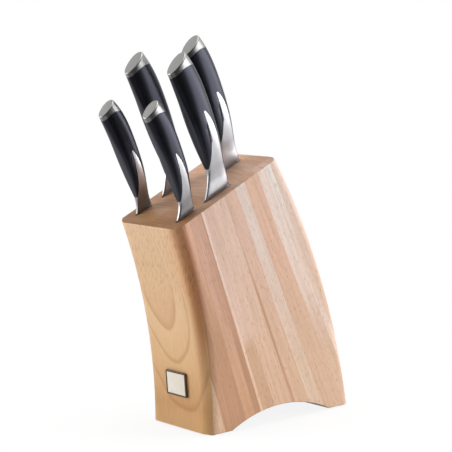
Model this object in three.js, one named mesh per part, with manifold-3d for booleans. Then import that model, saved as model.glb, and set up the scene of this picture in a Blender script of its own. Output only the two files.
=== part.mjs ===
// Knife block with five knives. Millimetres, +Z up, front of the block towards -Y, +X to the right.
//
// The block is glued up from a curved front facing and four boards standing side by side. The inner
// boards are grooved where boards meet, and the grooves are the knife slots. It stands on four rubber pads.
// Each knife is a one-piece forging (blade, bolster, side flames and tang), a moulded grip and an end cap.
// A knife leans forward by KNIFE_LEAN and lifts straight out along its own length.

import * as THREE from 'three';
import { mergeVertices } from 'three/addons/utils/BufferGeometryUtils.js';
import Module from 'manifold-3d';

const wasm = await Module();
wasm.setup();

// ---- block ----
const BLOCK_WIDTH = 86;
const BASE_DEPTH = 185;
const FRONT_HEIGHT = 191; // top front edge above the underside
const FRONT_OVERHANG = 37; // top front edge ahead of the foot of the front
const BACK_HEIGHT = 248.5; // top back edge above the underside
const BACK_SETBACK = 100; // top back edge ahead of the foot of the back
const BACK_RADIUS = 660; // bulge of the back
const CORNER_RADIUS = 12; // round of the four upright edges
const FACING_THICKNESS = 5.5;
const GLUE_LINE = 0.1;
const TOP_LENGTH = Math.hypot(BASE_DEPTH - BACK_SETBACK + FRONT_OVERHANG, BACK_HEIGHT - FRONT_HEIGHT);

// ---- arch cut across the underside ----
const FRONT_TOE = 28; // wood that stands on the table ahead of the arch
const REAR_TOE = 31;
const ARCH_RISE = 14.7;

// ---- slots ----
const BLADE_THICKNESS = 2.5;
const SLOT_SIDE_PLAY = 0.35; // between the blade and each wall of its slot
const SLOT_WIDTH = BLADE_THICKNESS + 2 * SLOT_SIDE_PLAY;
const SLOT_OFFSET = 30; // side slots, out from the middle one
const SLOT_END_PLAY = 1.6; // slot longer than the blade is deep, at each end
const SLOT_FLOOR_PLAY = 8; // slot deeper than the blade is long
const REAR_MOUTH_INSET = 11.5; // back of the rearmost blade ahead of the top back edge
const KNIFE_LEAN = THREE.MathUtils.degToRad(22);

// ---- pads and badge ----
const PAD_DIAMETER = 9;
const PAD_HEIGHT = 1.5;
const PAD_INSET_X = 8.5; // pad centre in from the block's side
const PAD_INSET_Y = 10; // pad centre in from the foot of the front or back
const BADGE_WIDTH = 28;
const BADGE_HEIGHT = 23;
const BADGE_THICKNESS = 2.2;
const BADGE_RIM = 1.4;
const BADGE_RECESS = 0.8;
const BADGE_CENTRE_HEIGHT = 42; // above the underside

// ---- knives ----
const EDGE_THICKNESS = 0.3;
const BOLSTER_TAIL = 3; // full-thickness bolster below the mouth of the slot
const TANG_THICKNESS = 2.4;
const TANG_DEPTH = 9;
const CAP_FACE_TILT = THREE.MathUtils.degToRad(28);
const CAP_SEAM_TILT = THREE.MathUtils.degToRad(14);
const BUTT_DROP = 8; // the back of the grip falls this much at the butt
const FIT_GAP = 0.3; // between pieces that are shaped to each other
const SKIN_GAP = 0.1; // between a blade's skin and the bolster's at the mouth

// ---- how the knives' outlines curve: shares run from 0 to 1 along the grip, the flame or the blade ----
const SWELL_END = 0.42; // the grip's back has swelled up fully
const DROP_START = 0.6; // the grip's back starts to fall
const DROP_POWER = 3;
const LOBE_WIDTH_SHARE = 0.36; // width at the lobe's tip against the grip's width
const BUTT_WIDTH_SHARE = 0.86; // width at the butt, against the width without the taper
const TAPER_START = 0.5; // the grip starts to narrow and to round off towards the butt
const BOLSTER_WIDTH_POWER = 1.5;
const BOLSTER_SWEEP_POWER = 1.6;
const GRIP_WIDTH_POWER = 2.2;
const BOLSTER_SQUARENESS = 6; // exponent of the superellipse section at the mouth
const GRIP_SQUARENESS = 2.8;
const BUTT_SQUARENESS = 2;
const FLAME_ROOT = 0.03; // spine side of the flame's root, as a share of the lobe's depth
const FLAME_TIP_SPINE = 0.4;
const FLAME_TIP_BELLY = 0.49;
const FLAME_SPINE_POWER = 3;
const FLAME_BELLY_POWER = 3.2;
const SHOULDER_SLOPE = 0.58; // fall of the grip's lower end towards the spine
const BLADE_SPINE_POWER = 5;
const BLADE_EDGE_POWER = 3.2;
const BLADE_TAPER = 0.55; // loss of thickness from the mouth to the tip
const BEVEL_HEIGHT = 0.2; // height of the bevel from the edge, against the blade's depth
const BEVEL_THICKNESS = 0.6; // thickness where the bevel starts, against the back's

// A knife's sizes are measured from the mouth of its slot and from the line of the blade's back:
// mouth is the blade's back behind the top front edge, along the top; tipDrop is how far the tip lies
// below the blade's back, against its depth; gripRise is how far the grip's back stands proud; lobe is
// the low tip of the grip's belly; lobeDepth, buttDepth and bellyBow shape the belly; cap is the end cap's
// length along the spine; flame is the tip of the steel on the grip's side.
const KNIVES = [
  {
    name: 'paring', slot: -SLOT_OFFSET, mouth: 33.2,
    bladeLength: 90, bladeDepth: 18.5, tipDrop: 0.45,
    grip: 107, gripWidth: 16, gripRise: 3.6, buttDepth: 24, bellyBow: -1.7,
    cap: 10, lobe: 14, lobeDepth: 13.8, flame: 58,
  },
  {
    name: 'utility', slot: SLOT_OFFSET, mouth: 34.2,
    bladeLength: 125, bladeDepth: 21.7, tipDrop: 0.4,
    grip: 107, gripWidth: 16, gripRise: 5, buttDepth: 22.5, bellyBow: -1.7,
    cap: 10, lobe: 14, lobeDepth: 13.8, flame: 58,
  },
  {
    name: 'carving', slot: -SLOT_OFFSET, mouth: 79.9,
    bladeLength: 200, bladeDepth: 31.2, tipDrop: 0.55,
    grip: 131, gripWidth: 18, gripRise: 3.6, buttDepth: 28.4, bellyBow: -0.5,
    cap: 11, lobe: 24, lobeDepth: 19.2, flame: 77,
  },
  {
    name: 'chef', slot: SLOT_OFFSET, mouth: 79.9,
    bladeLength: 200, bladeDepth: 31.2, tipDrop: 0.35,
    grip: 131, gripWidth: 18, gripRise: 3.6, buttDepth: 28.4, bellyBow: -0.5,
    cap: 11, lobe: 24, lobeDepth: 19.2, flame: 77,
  },
  {
    name: 'bread', slot: 0, mouth: TOP_LENGTH - REAR_MOUTH_INSET,
    bladeLength: 200, bladeDepth: 28, tipDrop: 0.15,
    grip: 127, gripWidth: 18, gripRise: 3.4, buttDepth: 27.5, bellyBow: -0.5,
    cap: 11, lobe: 23, lobeDepth: 18.6, flame: 73,
  },
];

// ---- facets ----
const HEIGHT_STEPS = 16;
const CORNER_STEPS = 4;
const ARCH_STEPS = 16;
const SECTION_POINTS = 20;
const FLAME_STEPS = 6;
const BOLSTER_STEPS = 5;
const GRIP_STATIONS = [0.12, 0.25, 0.38, 0.5, 0.62, 0.74, 0.86, 0.95, 1.02]; // lobe's tip to past the butt
const BLADE_STATIONS = [0.985, 0.95, 0.88, 0.75, 0.6, 0.4, 0.2, 0.02, 0]; // from the tip to the mouth

// A cutting shape reaches this far past what it cuts.
const CLEAR = 60;

const material = (name, color, roughness, metalness) =>
  new THREE.MeshStandardMaterial({ name, color, roughness, metalness });

// ---------------------------------------------------------------- solids

function toSolid(geometry) {
  const bare = geometry.clone();
  bare.deleteAttribute('normal');
  bare.deleteAttribute('uv');
  const merged = mergeVertices(bare, 1e-4);
  return new wasm.Manifold(new wasm.Mesh({
    numProp: 3,
    vertProperties: new Float32Array(merged.attributes.position.array),
    triVerts: new Uint32Array(merged.index.array),
  }));
}

function toGeometry(solid) {
  const mesh = solid.getMesh();
  const geometry = new THREE.BufferGeometry();
  geometry.setAttribute('position', new THREE.BufferAttribute(mesh.vertProperties, 3));
  geometry.setIndex(new THREE.BufferAttribute(mesh.triVerts, 1));
  geometry.computeVertexNormals();
  return geometry;
}

function namedMesh(name, solid, finish) {
  const mesh = new THREE.Mesh(toGeometry(solid), finish);
  mesh.name = name;
  return mesh;
}

// Closed skin over a stack of rings that all have the same number of points, counter-clockwise from above.
function loft(rings) {
  const count = rings[0].length;
  const points = rings.flat();
  const faces = [];
  for (let level = 0; level + 1 < rings.length; level += 1) {
    for (let i = 0; i < count; i += 1) {
      const a = level * count + i;
      const b = level * count + (i + 1) % count;
      faces.push(a, b, b + count, a, b + count, a + count);
    }
  }
  const top = (rings.length - 1) * count;
  for (let i = 1; i + 1 < count; i += 1) {
    faces.push(0, i + 1, i);
    faces.push(top, top + i, top + i + 1);
  }
  const geometry = new THREE.BufferGeometry().setFromPoints(points);
  geometry.setIndex(faces);
  return toSolid(geometry);
}

// Solid whose side view is the outline, given as [y, z] points, between two x values.
function sideExtrusion(outline, xLow, xHigh) {
  const shape = new THREE.Shape(outline.map(([y, z]) => new THREE.Vector2(y, z)));
  const geometry = new THREE.ExtrudeGeometry(shape, { depth: xHigh - xLow, bevelEnabled: false });
  const sideView = new THREE.Matrix4().makeBasis(
    new THREE.Vector3(0, 1, 0), new THREE.Vector3(0, 0, 1), new THREE.Vector3(1, 0, 0));
  geometry.applyMatrix4(sideView.setPosition(xLow, 0, 0));
  return toSolid(geometry);
}

function box(xLow, xHigh, yLow, yHigh, zLow, zHigh) {
  const geometry = new THREE.BoxGeometry(xHigh - xLow, yHigh - yLow, zHigh - zLow);
  geometry.translate((xLow + xHigh) / 2, (yLow + yHigh) / 2, (zLow + zHigh) / 2);
  return toSolid(geometry);
}

const steps = (count) => Array.from({ length: count + 1 }, (_, i) => i / count);

// ---------------------------------------------------------------- block

// The front is an arc that rises square from the table and leans forward to the top front edge.
const frontRadius = (FRONT_HEIGHT ** 2 + FRONT_OVERHANG ** 2) / (2 * FRONT_OVERHANG);
const frontY = (z) => Math.sqrt(frontRadius ** 2 - z ** 2) - frontRadius;

// The back is an arc of BACK_RADIUS through the foot of the back and the top back edge.
const backChord = Math.hypot(BACK_SETBACK, BACK_HEIGHT);
const backRise = Math.sqrt(BACK_RADIUS ** 2 - (backChord / 2) ** 2) / backChord;
const backCentreY = BASE_DEPTH - BACK_SETBACK / 2 - BACK_HEIGHT * backRise;
const backCentreZ = BACK_HEIGHT / 2 - BACK_SETBACK * backRise;
const backY = (z) => backCentreY + Math.sqrt(BACK_RADIUS ** 2 - (z - backCentreZ) ** 2);

const topFront = new THREE.Vector2(-FRONT_OVERHANG, FRONT_HEIGHT);
const topBack = new THREE.Vector2(BASE_DEPTH - BACK_SETBACK, BACK_HEIGHT);
const topDirection = topBack.clone().sub(topFront).normalize();
const onTop = (distance) => topFront.clone().addScaledVector(topDirection, distance);

function roundedRing(z, front, back) {
  const ring = [];
  const halfWidth = BLOCK_WIDTH / 2 - CORNER_RADIUS;
  const corners = [
    [halfWidth, back - CORNER_RADIUS], [-halfWidth, back - CORNER_RADIUS],
    [-halfWidth, front + CORNER_RADIUS], [halfWidth, front + CORNER_RADIUS],
  ];
  corners.forEach(([x, y], quarter) => {
    for (const part of steps(CORNER_STEPS)) {
      const angle = (quarter + part) * Math.PI / 2;
      const corner = new THREE.Vector3(Math.cos(angle), Math.sin(angle), 0).multiplyScalar(CORNER_RADIUS);
      ring.push(corner.add(new THREE.Vector3(x, y, z)));
    }
  });
  return ring;
}

const levels = steps(HEIGHT_STEPS).map((part) => part * BACK_HEIGHT);

function archCutter() {
  const start = FRONT_TOE;
  const end = BASE_DEPTH - REAR_TOE;
  const halfSpan = (end - start) / 2;
  const radius = (halfSpan ** 2 + ARCH_RISE ** 2) / (2 * ARCH_RISE);
  const halfAngle = Math.asin(halfSpan / radius);
  const outline = steps(ARCH_STEPS).map((part) => {
    const angle = halfAngle * (2 * part - 1);
    return [start + halfSpan + radius * Math.sin(angle), ARCH_RISE - radius * (1 - Math.cos(angle))];
  });
  outline.push([end, -CLEAR], [start, -CLEAR]);
  return sideExtrusion(outline, -BLOCK_WIDTH, BLOCK_WIDTH);
}

function wholeBlock() {
  const body = loft(levels.map((z) => roundedRing(z, frontY(z), backY(z))));
  const aheadOfTop = onTop(-CLEAR);
  const behindTop = onTop(TOP_LENGTH + CLEAR);
  const aboveTop = sideExtrusion([
    [aheadOfTop.x, aheadOfTop.y], [behindTop.x, behindTop.y],
    [behindTop.x, behindTop.y + CLEAR * 2], [aheadOfTop.x, behindTop.y + CLEAR * 2],
  ], -BLOCK_WIDTH, BLOCK_WIDTH);
  return body.subtract(aboveTop).subtract(archCutter());
}

// Everything from well ahead of the block back to the front arc moved back by depth.
function frontZone(depth) {
  const arc = levels.map((z) => [frontY(z) + depth, z]);
  const [lowY] = arc[0];
  const [highY, highZ] = arc[arc.length - 1];
  return sideExtrusion([
    [-2 * CLEAR - BASE_DEPTH, -CLEAR], [lowY, -CLEAR], ...arc, [highY, highZ + CLEAR],
    [-2 * CLEAR - BASE_DEPTH, highZ + CLEAR],
  ], -BLOCK_WIDTH, BLOCK_WIDTH);
}

// A knife's own frame: origin on the spine at the mouth of its slot, Z up the knife, Y towards its spine.
function placeOnKnife(object, knife) {
  const mouth = onTop(knife.mouth);
  object.position.set(knife.slot, mouth.x, mouth.y);
  object.rotation.x = KNIFE_LEAN;
  object.updateMatrix();
  return object;
}

function slotCutter(knife) {
  const depth = knife.bladeLength + SLOT_FLOOR_PLAY;
  const geometry = new THREE.BoxGeometry(SLOT_WIDTH, knife.bladeDepth + 2 * SLOT_END_PLAY, depth + CLEAR);
  geometry.translate(0, -knife.bladeDepth / 2, (CLEAR - depth) / 2);
  geometry.applyMatrix4(placeOnKnife(new THREE.Object3D(), knife).matrix);
  return toSolid(geometry);
}

function block() {
  const group = new THREE.Group();
  const whole = wholeBlock();
  const facing = whole.intersect(frontZone(FACING_THICKNESS));
  group.add(namedMesh('front_facing', facing, material('facing_wood', 0xd2a679, 0.5, 0)));

  let boards = whole.subtract(frontZone(FACING_THICKNESS + GLUE_LINE));
  for (const knife of KNIVES) boards = boards.subtract(slotCutter(knife));

  // The side slots are cut into the inner boards, up to the outer boards' faces.
  const joint = SLOT_OFFSET + SLOT_WIDTH / 2;
  const edges = [-BLOCK_WIDTH, -joint, 0, joint, BLOCK_WIDTH];
  const names = ['outer_board_left', 'inner_board_left', 'inner_board_right', 'outer_board_right'];
  const colors = [0xdcb694, 0xd3a985, 0xd8b08c, 0xdfbb9b];
  names.forEach((name, i) => {
    const slab = box(edges[i] + GLUE_LINE / 2, edges[i + 1] - GLUE_LINE / 2,
      -BASE_DEPTH, 2 * BASE_DEPTH, -CLEAR, BACK_HEIGHT + CLEAR);
    group.add(namedMesh(name, boards.intersect(slab), material(`${name}_wood`, colors[i], 0.55, 0)));
  });
  return group;
}

// ---------------------------------------------------------------- pads and badge

function pads() {
  const group = new THREE.Group();
  const places = {
    pad_front_left: [-1, PAD_INSET_Y], pad_front_right: [1, PAD_INSET_Y],
    pad_rear_left: [-1, BASE_DEPTH - PAD_INSET_Y], pad_rear_right: [1, BASE_DEPTH - PAD_INSET_Y],
  };
  for (const [name, [side, y]] of Object.entries(places)) {
    const geometry = new THREE.CylinderGeometry(PAD_DIAMETER / 2, PAD_DIAMETER / 2, PAD_HEIGHT, 20);
    const pad = new THREE.Mesh(geometry, material(`${name}_rubber`, 0x2b2a28, 0.85, 0));
    pad.name = name;
    pad.rotation.x = Math.PI / 2;
    pad.position.set(side * (BLOCK_WIDTH / 2 - PAD_INSET_X), y, -PAD_HEIGHT / 2);
    group.add(pad);
  }
  return group;
}

// The badge lies on the front with its back on the chord of the curve behind it.
function badge() {
  const low = BADGE_CENTRE_HEIGHT - BADGE_HEIGHT / 2;
  const high = BADGE_CENTRE_HEIGHT + BADGE_HEIGHT / 2;
  const inset = (margin, yLow, yHigh) => {
    const halfWidth = BADGE_WIDTH / 2 - margin;
    const halfHeight = BADGE_HEIGHT / 2 - margin;
    return box(-halfWidth, halfWidth, yLow, yHigh, -halfHeight, halfHeight);
  };
  const floor = -BADGE_THICKNESS + BADGE_RECESS;
  const plate = inset(0, -BADGE_THICKNESS, 0);
  const pocket = inset(BADGE_RIM, -CLEAR, floor);
  const face = inset(BADGE_RIM + FIT_GAP, -BADGE_THICKNESS + FIT_GAP, floor - GLUE_LINE);

  const group = new THREE.Group();
  const bronze = material('badge_plate_metal', 0x5a4038, 0.4, 0.6);
  const cream = material('badge_face_enamel', 0xe9e4d6, 0.35, 0);
  group.add(namedMesh('badge_plate', plate.subtract(pocket), bronze));
  group.add(namedMesh('badge_face', face, cream));
  const gap = FIT_GAP / 2;
  group.position.set(0, (frontY(low) + frontY(high)) / 2 - gap, BADGE_CENTRE_HEIGHT);
  group.rotation.x = Math.atan2(frontY(low) - frontY(high), BADGE_HEIGHT);
  return group;
}

// ---------------------------------------------------------------- knives

// A knife's z is its height above the mouth, and its y is 0 along the back of the blade.
// The grip's back swells up from the blade's and drops away near the butt.
function spineAt(knife, z) {
  const place = z / knife.grip;
  const swell = knife.gripRise * THREE.MathUtils.smoothstep(place, 0, SWELL_END);
  const drop = Math.max(0, (place - DROP_START) / (1 - DROP_START));
  return swell - BUTT_DROP * drop ** DROP_POWER;
}

// The grip's belly bows between the lobe's tip and the butt.
function gripBellyAt(knife, z) {
  const place = (z - knife.lobe) / (knife.grip - knife.lobe);
  const bow = knife.bellyBow * 4 * place * (1 - place);
  return -THREE.MathUtils.lerp(knife.lobeDepth, knife.buttDepth, place) - bow;
}

// Below the lobe the belly line sweeps out to the heel of the blade.
function bellyAt(knife, z) {
  if (z >= knife.lobe) return gripBellyAt(knife, z);
  const below = 1 - Math.max(z, 0) / knife.lobe;
  return -knife.lobeDepth - (knife.bladeDepth - knife.lobeDepth) * below ** BOLSTER_SWEEP_POWER;
}

function halfWidthAt(knife, z) {
  const atMouth = BLADE_THICKNESS / 2;
  const widest = knife.gripWidth / 2;
  if (z <= 0) return atMouth;
  if (z < knife.lobe) {
    return THREE.MathUtils.lerp(atMouth, widest * LOBE_WIDTH_SHARE, (z / knife.lobe) ** BOLSTER_WIDTH_POWER);
  }
  const fromWidest = 1 - 2 * (z - knife.lobe) / (knife.grip - knife.lobe);
  const taper = THREE.MathUtils.lerp(1, BUTT_WIDTH_SHARE, towardsButt(knife, z));
  return widest * (1 - (1 - LOBE_WIDTH_SHARE) * Math.max(0, fromWidest) ** GRIP_WIDTH_POWER) * taper;
}

// 0 up to where the grip starts to narrow, 1 at the butt.
function towardsButt(knife, z) {
  return THREE.MathUtils.smoothstep(z / knife.grip, TAPER_START, 1);
}

// The section is a superellipse: nearly square-edged at the mouth, rounded on the grip, an ellipse at the butt.
function gripRing(knife, z) {
  const spine = spineAt(knife, z);
  const belly = bellyAt(knife, z);
  const rounding = THREE.MathUtils.smoothstep(z, 0, 2 * knife.lobe);
  const onGrip = THREE.MathUtils.lerp(GRIP_SQUARENESS, BUTT_SQUARENESS, towardsButt(knife, z));
  const power = 2 / THREE.MathUtils.lerp(BOLSTER_SQUARENESS, onGrip, rounding);
  const bend = (value) => Math.sign(value) * Math.abs(value) ** power;
  const ring = [];
  for (let i = 0; i < SECTION_POINTS; i += 1) {
    const angle = 2 * Math.PI * i / SECTION_POINTS;
    ring.push(new THREE.Vector3(
      halfWidthAt(knife, z) * bend(Math.cos(angle)),
      (spine + belly) / 2 + (spine - belly) / 2 * bend(Math.sin(angle)),
      z));
  }
  return ring;
}

function gripAndBolster(knife) {
  const heights = [
    -BOLSTER_TAIL,
    ...steps(BOLSTER_STEPS).map((part) => part * knife.lobe),
    ...GRIP_STATIONS.map((part) => THREE.MathUtils.lerp(knife.lobe, knife.grip, part)),
  ];
  return loft(heights.map((z) => gripRing(knife, z)));
}

// Side outline of the steel that shows: all of the bolster up to the lobe's tip, then a flame that narrows
// to its own tip. grow moves the outline outwards.
function steelZone(knife, grow) {
  const place = (share, part) =>
    [-knife.lobeDepth * share, THREE.MathUtils.lerp(knife.lobe, knife.flame, part) + grow];
  const bellySide = steps(FLAME_STEPS).map((part) =>
    place(THREE.MathUtils.lerp(FLAME_TIP_BELLY, 1, (1 - part) ** FLAME_BELLY_POWER), part));
  const spineSide = steps(FLAME_STEPS).reverse().map((part) =>
    place(THREE.MathUtils.lerp(FLAME_ROOT, FLAME_TIP_SPINE, part ** FLAME_SPINE_POWER), part));
  return sideExtrusion([
    [-CLEAR, -CLEAR], [-CLEAR, knife.lobe + grow],
    ...bellySide.map(([y, z]) => [y - grow, z]), ...spineSide.map(([y, z]) => [y + grow, z]),
    [CLEAR, knife.lobe - CLEAR * SHOULDER_SLOPE + grow], [CLEAR, -CLEAR],
  ], -CLEAR, CLEAR);
}

// Everything above a plane across the grip. It meets the grip's back at atSpine and falls towards the belly.
function zoneAbove(knife, atSpine, tilt) {
  const spine = spineAt(knife, knife.grip);
  const height = (y) => atSpine + (y - spine) * Math.tan(tilt);
  return sideExtrusion([
    [-CLEAR, height(-CLEAR)], [CLEAR, height(CLEAR)],
    [CLEAR, knife.grip + 2 * CLEAR], [-CLEAR, knife.grip + 2 * CLEAR],
  ], -CLEAR, CLEAR);
}

function tang(knife, grow) {
  const middle = (spineAt(knife, knife.flame) + bellyAt(knife, knife.flame)) / 2;
  const halfDepth = TANG_DEPTH / 2;
  const seamFall = (knife.buttDepth + knife.gripRise) * Math.tan(CAP_SEAM_TILT);
  const top = knife.grip - knife.cap - seamFall - FIT_GAP;
  return box(-TANG_THICKNESS / 2 - grow, TANG_THICKNESS / 2 + grow,
    middle - halfDepth - grow, middle + halfDepth + grow, knife.lobe / 2, top + grow);
}

// The blade narrows from its back to its edge, and the two curve together towards the tip.
function blade(knife) {
  const tip = -knife.tipDrop * knife.bladeDepth;
  const rings = BLADE_STATIONS.map((part) => {
    const spine = tip * part ** BLADE_SPINE_POWER - SKIN_GAP;
    const edge = THREE.MathUtils.lerp(-knife.bladeDepth, tip, part ** BLADE_EDGE_POWER) + SKIN_GAP;
    const bevel = THREE.MathUtils.lerp(edge, spine, BEVEL_HEIGHT);
    const back = BLADE_THICKNESS / 2 * (1 - BLADE_TAPER * part) - SKIN_GAP;
    const bevelBack = back * BEVEL_THICKNESS;
    return [
      [back, spine], [-back, spine], [-bevelBack, bevel], [-EDGE_THICKNESS / 2, edge],
      [EDGE_THICKNESS / 2, edge], [bevelBack, bevel],
    ].map(([x, y]) => new THREE.Vector3(x, y, -part * knife.bladeLength));
  });
  return loft(rings);
}

function knifeGroup(knife) {
  const group = placeOnKnife(new THREE.Group(), knife);
  const whole = gripAndBolster(knife);
  const seam = knife.grip - knife.cap;
  const capZone = zoneAbove(knife, seam + FIT_GAP, CAP_SEAM_TILT);
  const forging = whole.intersect(steelZone(knife, 0)).add(tang(knife, 0)).add(blade(knife));
  const grip = whole.subtract(steelZone(knife, FIT_GAP)).subtract(tang(knife, FIT_GAP))
    .subtract(zoneAbove(knife, seam, CAP_SEAM_TILT));
  const cap = whole.intersect(capZone).subtract(zoneAbove(knife, knife.grip, CAP_FACE_TILT));
  group.add(namedMesh(`${knife.name}_blade`, forging, material(`${knife.name}_steel`, 0xb9b9bb, 0.25, 1)));
  group.add(namedMesh(`${knife.name}_grip`, grip, material(`${knife.name}_grip_plastic`, 0x1b1b20, 0.4, 0)));
  group.add(namedMesh(`${knife.name}_cap`, cap, material(`${knife.name}_cap_steel`, 0xa8a7a2, 0.35, 1)));
  return group;
}

// ---------------------------------------------------------------- assembly

const assembly = new THREE.Group();
assembly.add(block(), pads(), badge());
for (const knife of KNIVES) assembly.add(knifeGroup(knife));

// The origin is on the table, below the middle of the whole outline.
assembly.position.z = PAD_HEIGHT;
assembly.updateMatrixWorld(true);
const outline = new THREE.Box3().setFromObject(assembly, true);
assembly.position.y = -(outline.min.y + outline.max.y) / 2;

export default assembly;
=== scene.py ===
"""Knife block with five knives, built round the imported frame. Metres, +Z up, front towards -Y.

The block is a curved front facing and four boards on four pads, with a blank badge. Each knife is a steel
forging (blade, bolster and side flames), a moulded grip and a steel end cap. Every new piece stands for
the frame's node of the same name, and a bolster stands for its blade's node.
"""

import math
import random

import bmesh
import bpy
import numpy as np
from bpy.props import FloatProperty, FloatVectorProperty, PointerProperty
from mathutils import Euler, Matrix, Vector


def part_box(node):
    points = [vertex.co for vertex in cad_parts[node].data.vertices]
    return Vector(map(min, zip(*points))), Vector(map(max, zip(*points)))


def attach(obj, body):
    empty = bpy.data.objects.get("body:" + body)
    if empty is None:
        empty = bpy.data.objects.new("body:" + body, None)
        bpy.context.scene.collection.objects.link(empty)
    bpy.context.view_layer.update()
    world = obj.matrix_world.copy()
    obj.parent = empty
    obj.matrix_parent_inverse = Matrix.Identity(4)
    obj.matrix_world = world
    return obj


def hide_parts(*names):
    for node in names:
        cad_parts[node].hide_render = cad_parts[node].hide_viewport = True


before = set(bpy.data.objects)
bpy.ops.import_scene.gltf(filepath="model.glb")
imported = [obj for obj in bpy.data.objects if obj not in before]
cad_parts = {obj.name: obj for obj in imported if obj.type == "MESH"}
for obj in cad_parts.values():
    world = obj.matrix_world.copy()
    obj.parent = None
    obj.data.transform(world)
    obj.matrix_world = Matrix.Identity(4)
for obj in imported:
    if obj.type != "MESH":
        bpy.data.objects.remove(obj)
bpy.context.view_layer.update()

bl_info = {
    "name": "Knife Block",
    "version": (1, 0, 0),
    "blender": (4, 5, 0),
    "location": "View3D > Sidebar > Knife Block",
    "description": "Makes a wooden knife block with five knives round a packed frame",
    "category": "Object",
}

MM = 0.001

# Places that the frame gives: the wood's side, top front edge, underside, foot of the back and top back edge.
BOARD_LOW, BOARD_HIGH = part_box("inner_board_right")
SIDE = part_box("outer_board_right")[1].x
TOP_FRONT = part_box("front_facing")[0].y
UNDERSIDE = BOARD_LOW.z
BACK_FOOT = BOARD_HIGH.y
BACK_TOP = BOARD_HIGH.z


# ---------------------------------------------------------------- settings


def length(name, description, default, lowest=0.0):
    """A length in metres that a user can change."""
    return FloatProperty(name=name, description=description, default=default, min=lowest, unit="LENGTH",
                         precision=4)


def colour(name, description, default):
    """A surface colour."""
    return FloatVectorProperty(name=name, description=description, default=default, size=3, min=0.0, max=1.0,
                               subtype="COLOR")


class BlockSizes(bpy.types.PropertyGroup):
    """Sizes of the wooden block."""

    width: length("Width", "Across the block", SIDE * 2)
    foot_depth: length("Foot depth", "From the foot of the front to the foot of the back", 185 * MM)
    front_height: length("Front height", "Top front edge above the underside", 191 * MM)
    back_setback: length("Back setback", "Top back edge ahead of the foot of the back", 100 * MM)
    back_radius: length("Back radius", "Bulge of the back", 660 * MM)
    corner_radius: length("Corner radius", "Round of the four upright edges", 12 * MM)
    facing: length("Facing", "Thickness of the front facing", 5.5 * MM)
    front_toe: length("Front toe", "Wood on the table ahead of the arch", 28 * MM)
    rear_toe: length("Rear toe", "Wood on the table behind the arch", 31 * MM)
    arch_rise: length("Arch rise", "Height of the arch", 14.7 * MM)
    arris: length("Arris", "Round of the edges round the top", 0.9 * MM)
    glue_line: length("Glue line", "Gap between glued boards", 0.1 * MM)
    slot_play: length("Slot play", "Slot longer than the blade is deep, at each end", 1.6 * MM)
    slot_floor: length("Slot floor", "Slot deeper than the blade is long", 8 * MM)
    slot_width: length("Slot width", "Width of a slot", 3.2 * MM)
    slot_offset: length("Slot offset", "Side slots, out from the middle one", 30 * MM)


class KnifeShape(bpy.types.PropertyGroup):
    """Sizes that all the knives share."""

    lean: FloatProperty(name="Lean", description="Forward lean of the knives", default=math.radians(22),
                        subtype="ANGLE")
    blade: length("Blade", "Thickness of a blade's back", 2.5 * MM)
    cap_face_tilt: FloatProperty(name="Cap face tilt", description="Slant of the cap's end face",
                                 default=math.radians(28), subtype="ANGLE")
    cap_seam_tilt: FloatProperty(name="Cap seam tilt", description="Slant of the seam below the cap",
                                 default=math.radians(11.5), subtype="ANGLE")
    seam: length("Seam", "Gap between the grip and its cap", 0.16 * MM)
    proud: length("Proud", "How far the steel flames stand out of the grip", 0.05 * MM)
    shell: length("Shell", "Thickness of the steel that is let into the grip", 0.8 * MM)


class Finishes(bpy.types.PropertyGroup):
    """Colours of the finishes."""

    facing_wood: colour("Facing wood", "Golden board on the front", (0.755, 0.50, 0.275))
    end_grain: colour("End grain", "Sawn ends of the boards", (0.36, 0.20, 0.12))
    steel: colour("Steel", "Bolsters and blades", (0.36, 0.355, 0.37))
    cap_steel: colour("Cap steel", "End caps", (0.285, 0.285, 0.285))
    cap_end: colour("Cap end", "Ground end faces of the caps", (0.315, 0.31, 0.30))
    grip: colour("Grip", "Moulded grips", (0.0105, 0.0105, 0.014))
    badge_rim: colour("Badge rim", "Frame of the badge", (0.065, 0.038, 0.026))
    badge_face: colour("Badge face", "Blank face of the badge", (0.78, 0.72, 0.62))
    pad: colour("Pad", "Rubber pads", (0.02, 0.02, 0.02))


class StageSettings(bpy.types.PropertyGroup):
    """Camera and studio."""

    azimuth: FloatProperty(name="Azimuth", description="Way round the object, 0 from the front",
                           default=math.radians(47.8), subtype="ANGLE")
    elevation: FloatProperty(name="Elevation", description="Height of the view above the horizon",
                             default=math.radians(8.29), subtype="ANGLE")
    distance: length("Distance", "Camera to its target", 1.379)
    target_back: length("Target back", "Target behind the foot of the front", 75.25 * MM)
    target_up: length("Target up", "Target above the underside", 150.5 * MM)
    focal: FloatProperty(name="Focal length", description="In millimetres on a 36 mm sensor", default=116.1)
    shift_x: FloatProperty(name="Shift across", description="Share of the frame's width", default=-0.0301)
    shift_y: FloatProperty(name="Shift up", description="Share of the frame's width", default=0.0721)


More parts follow.
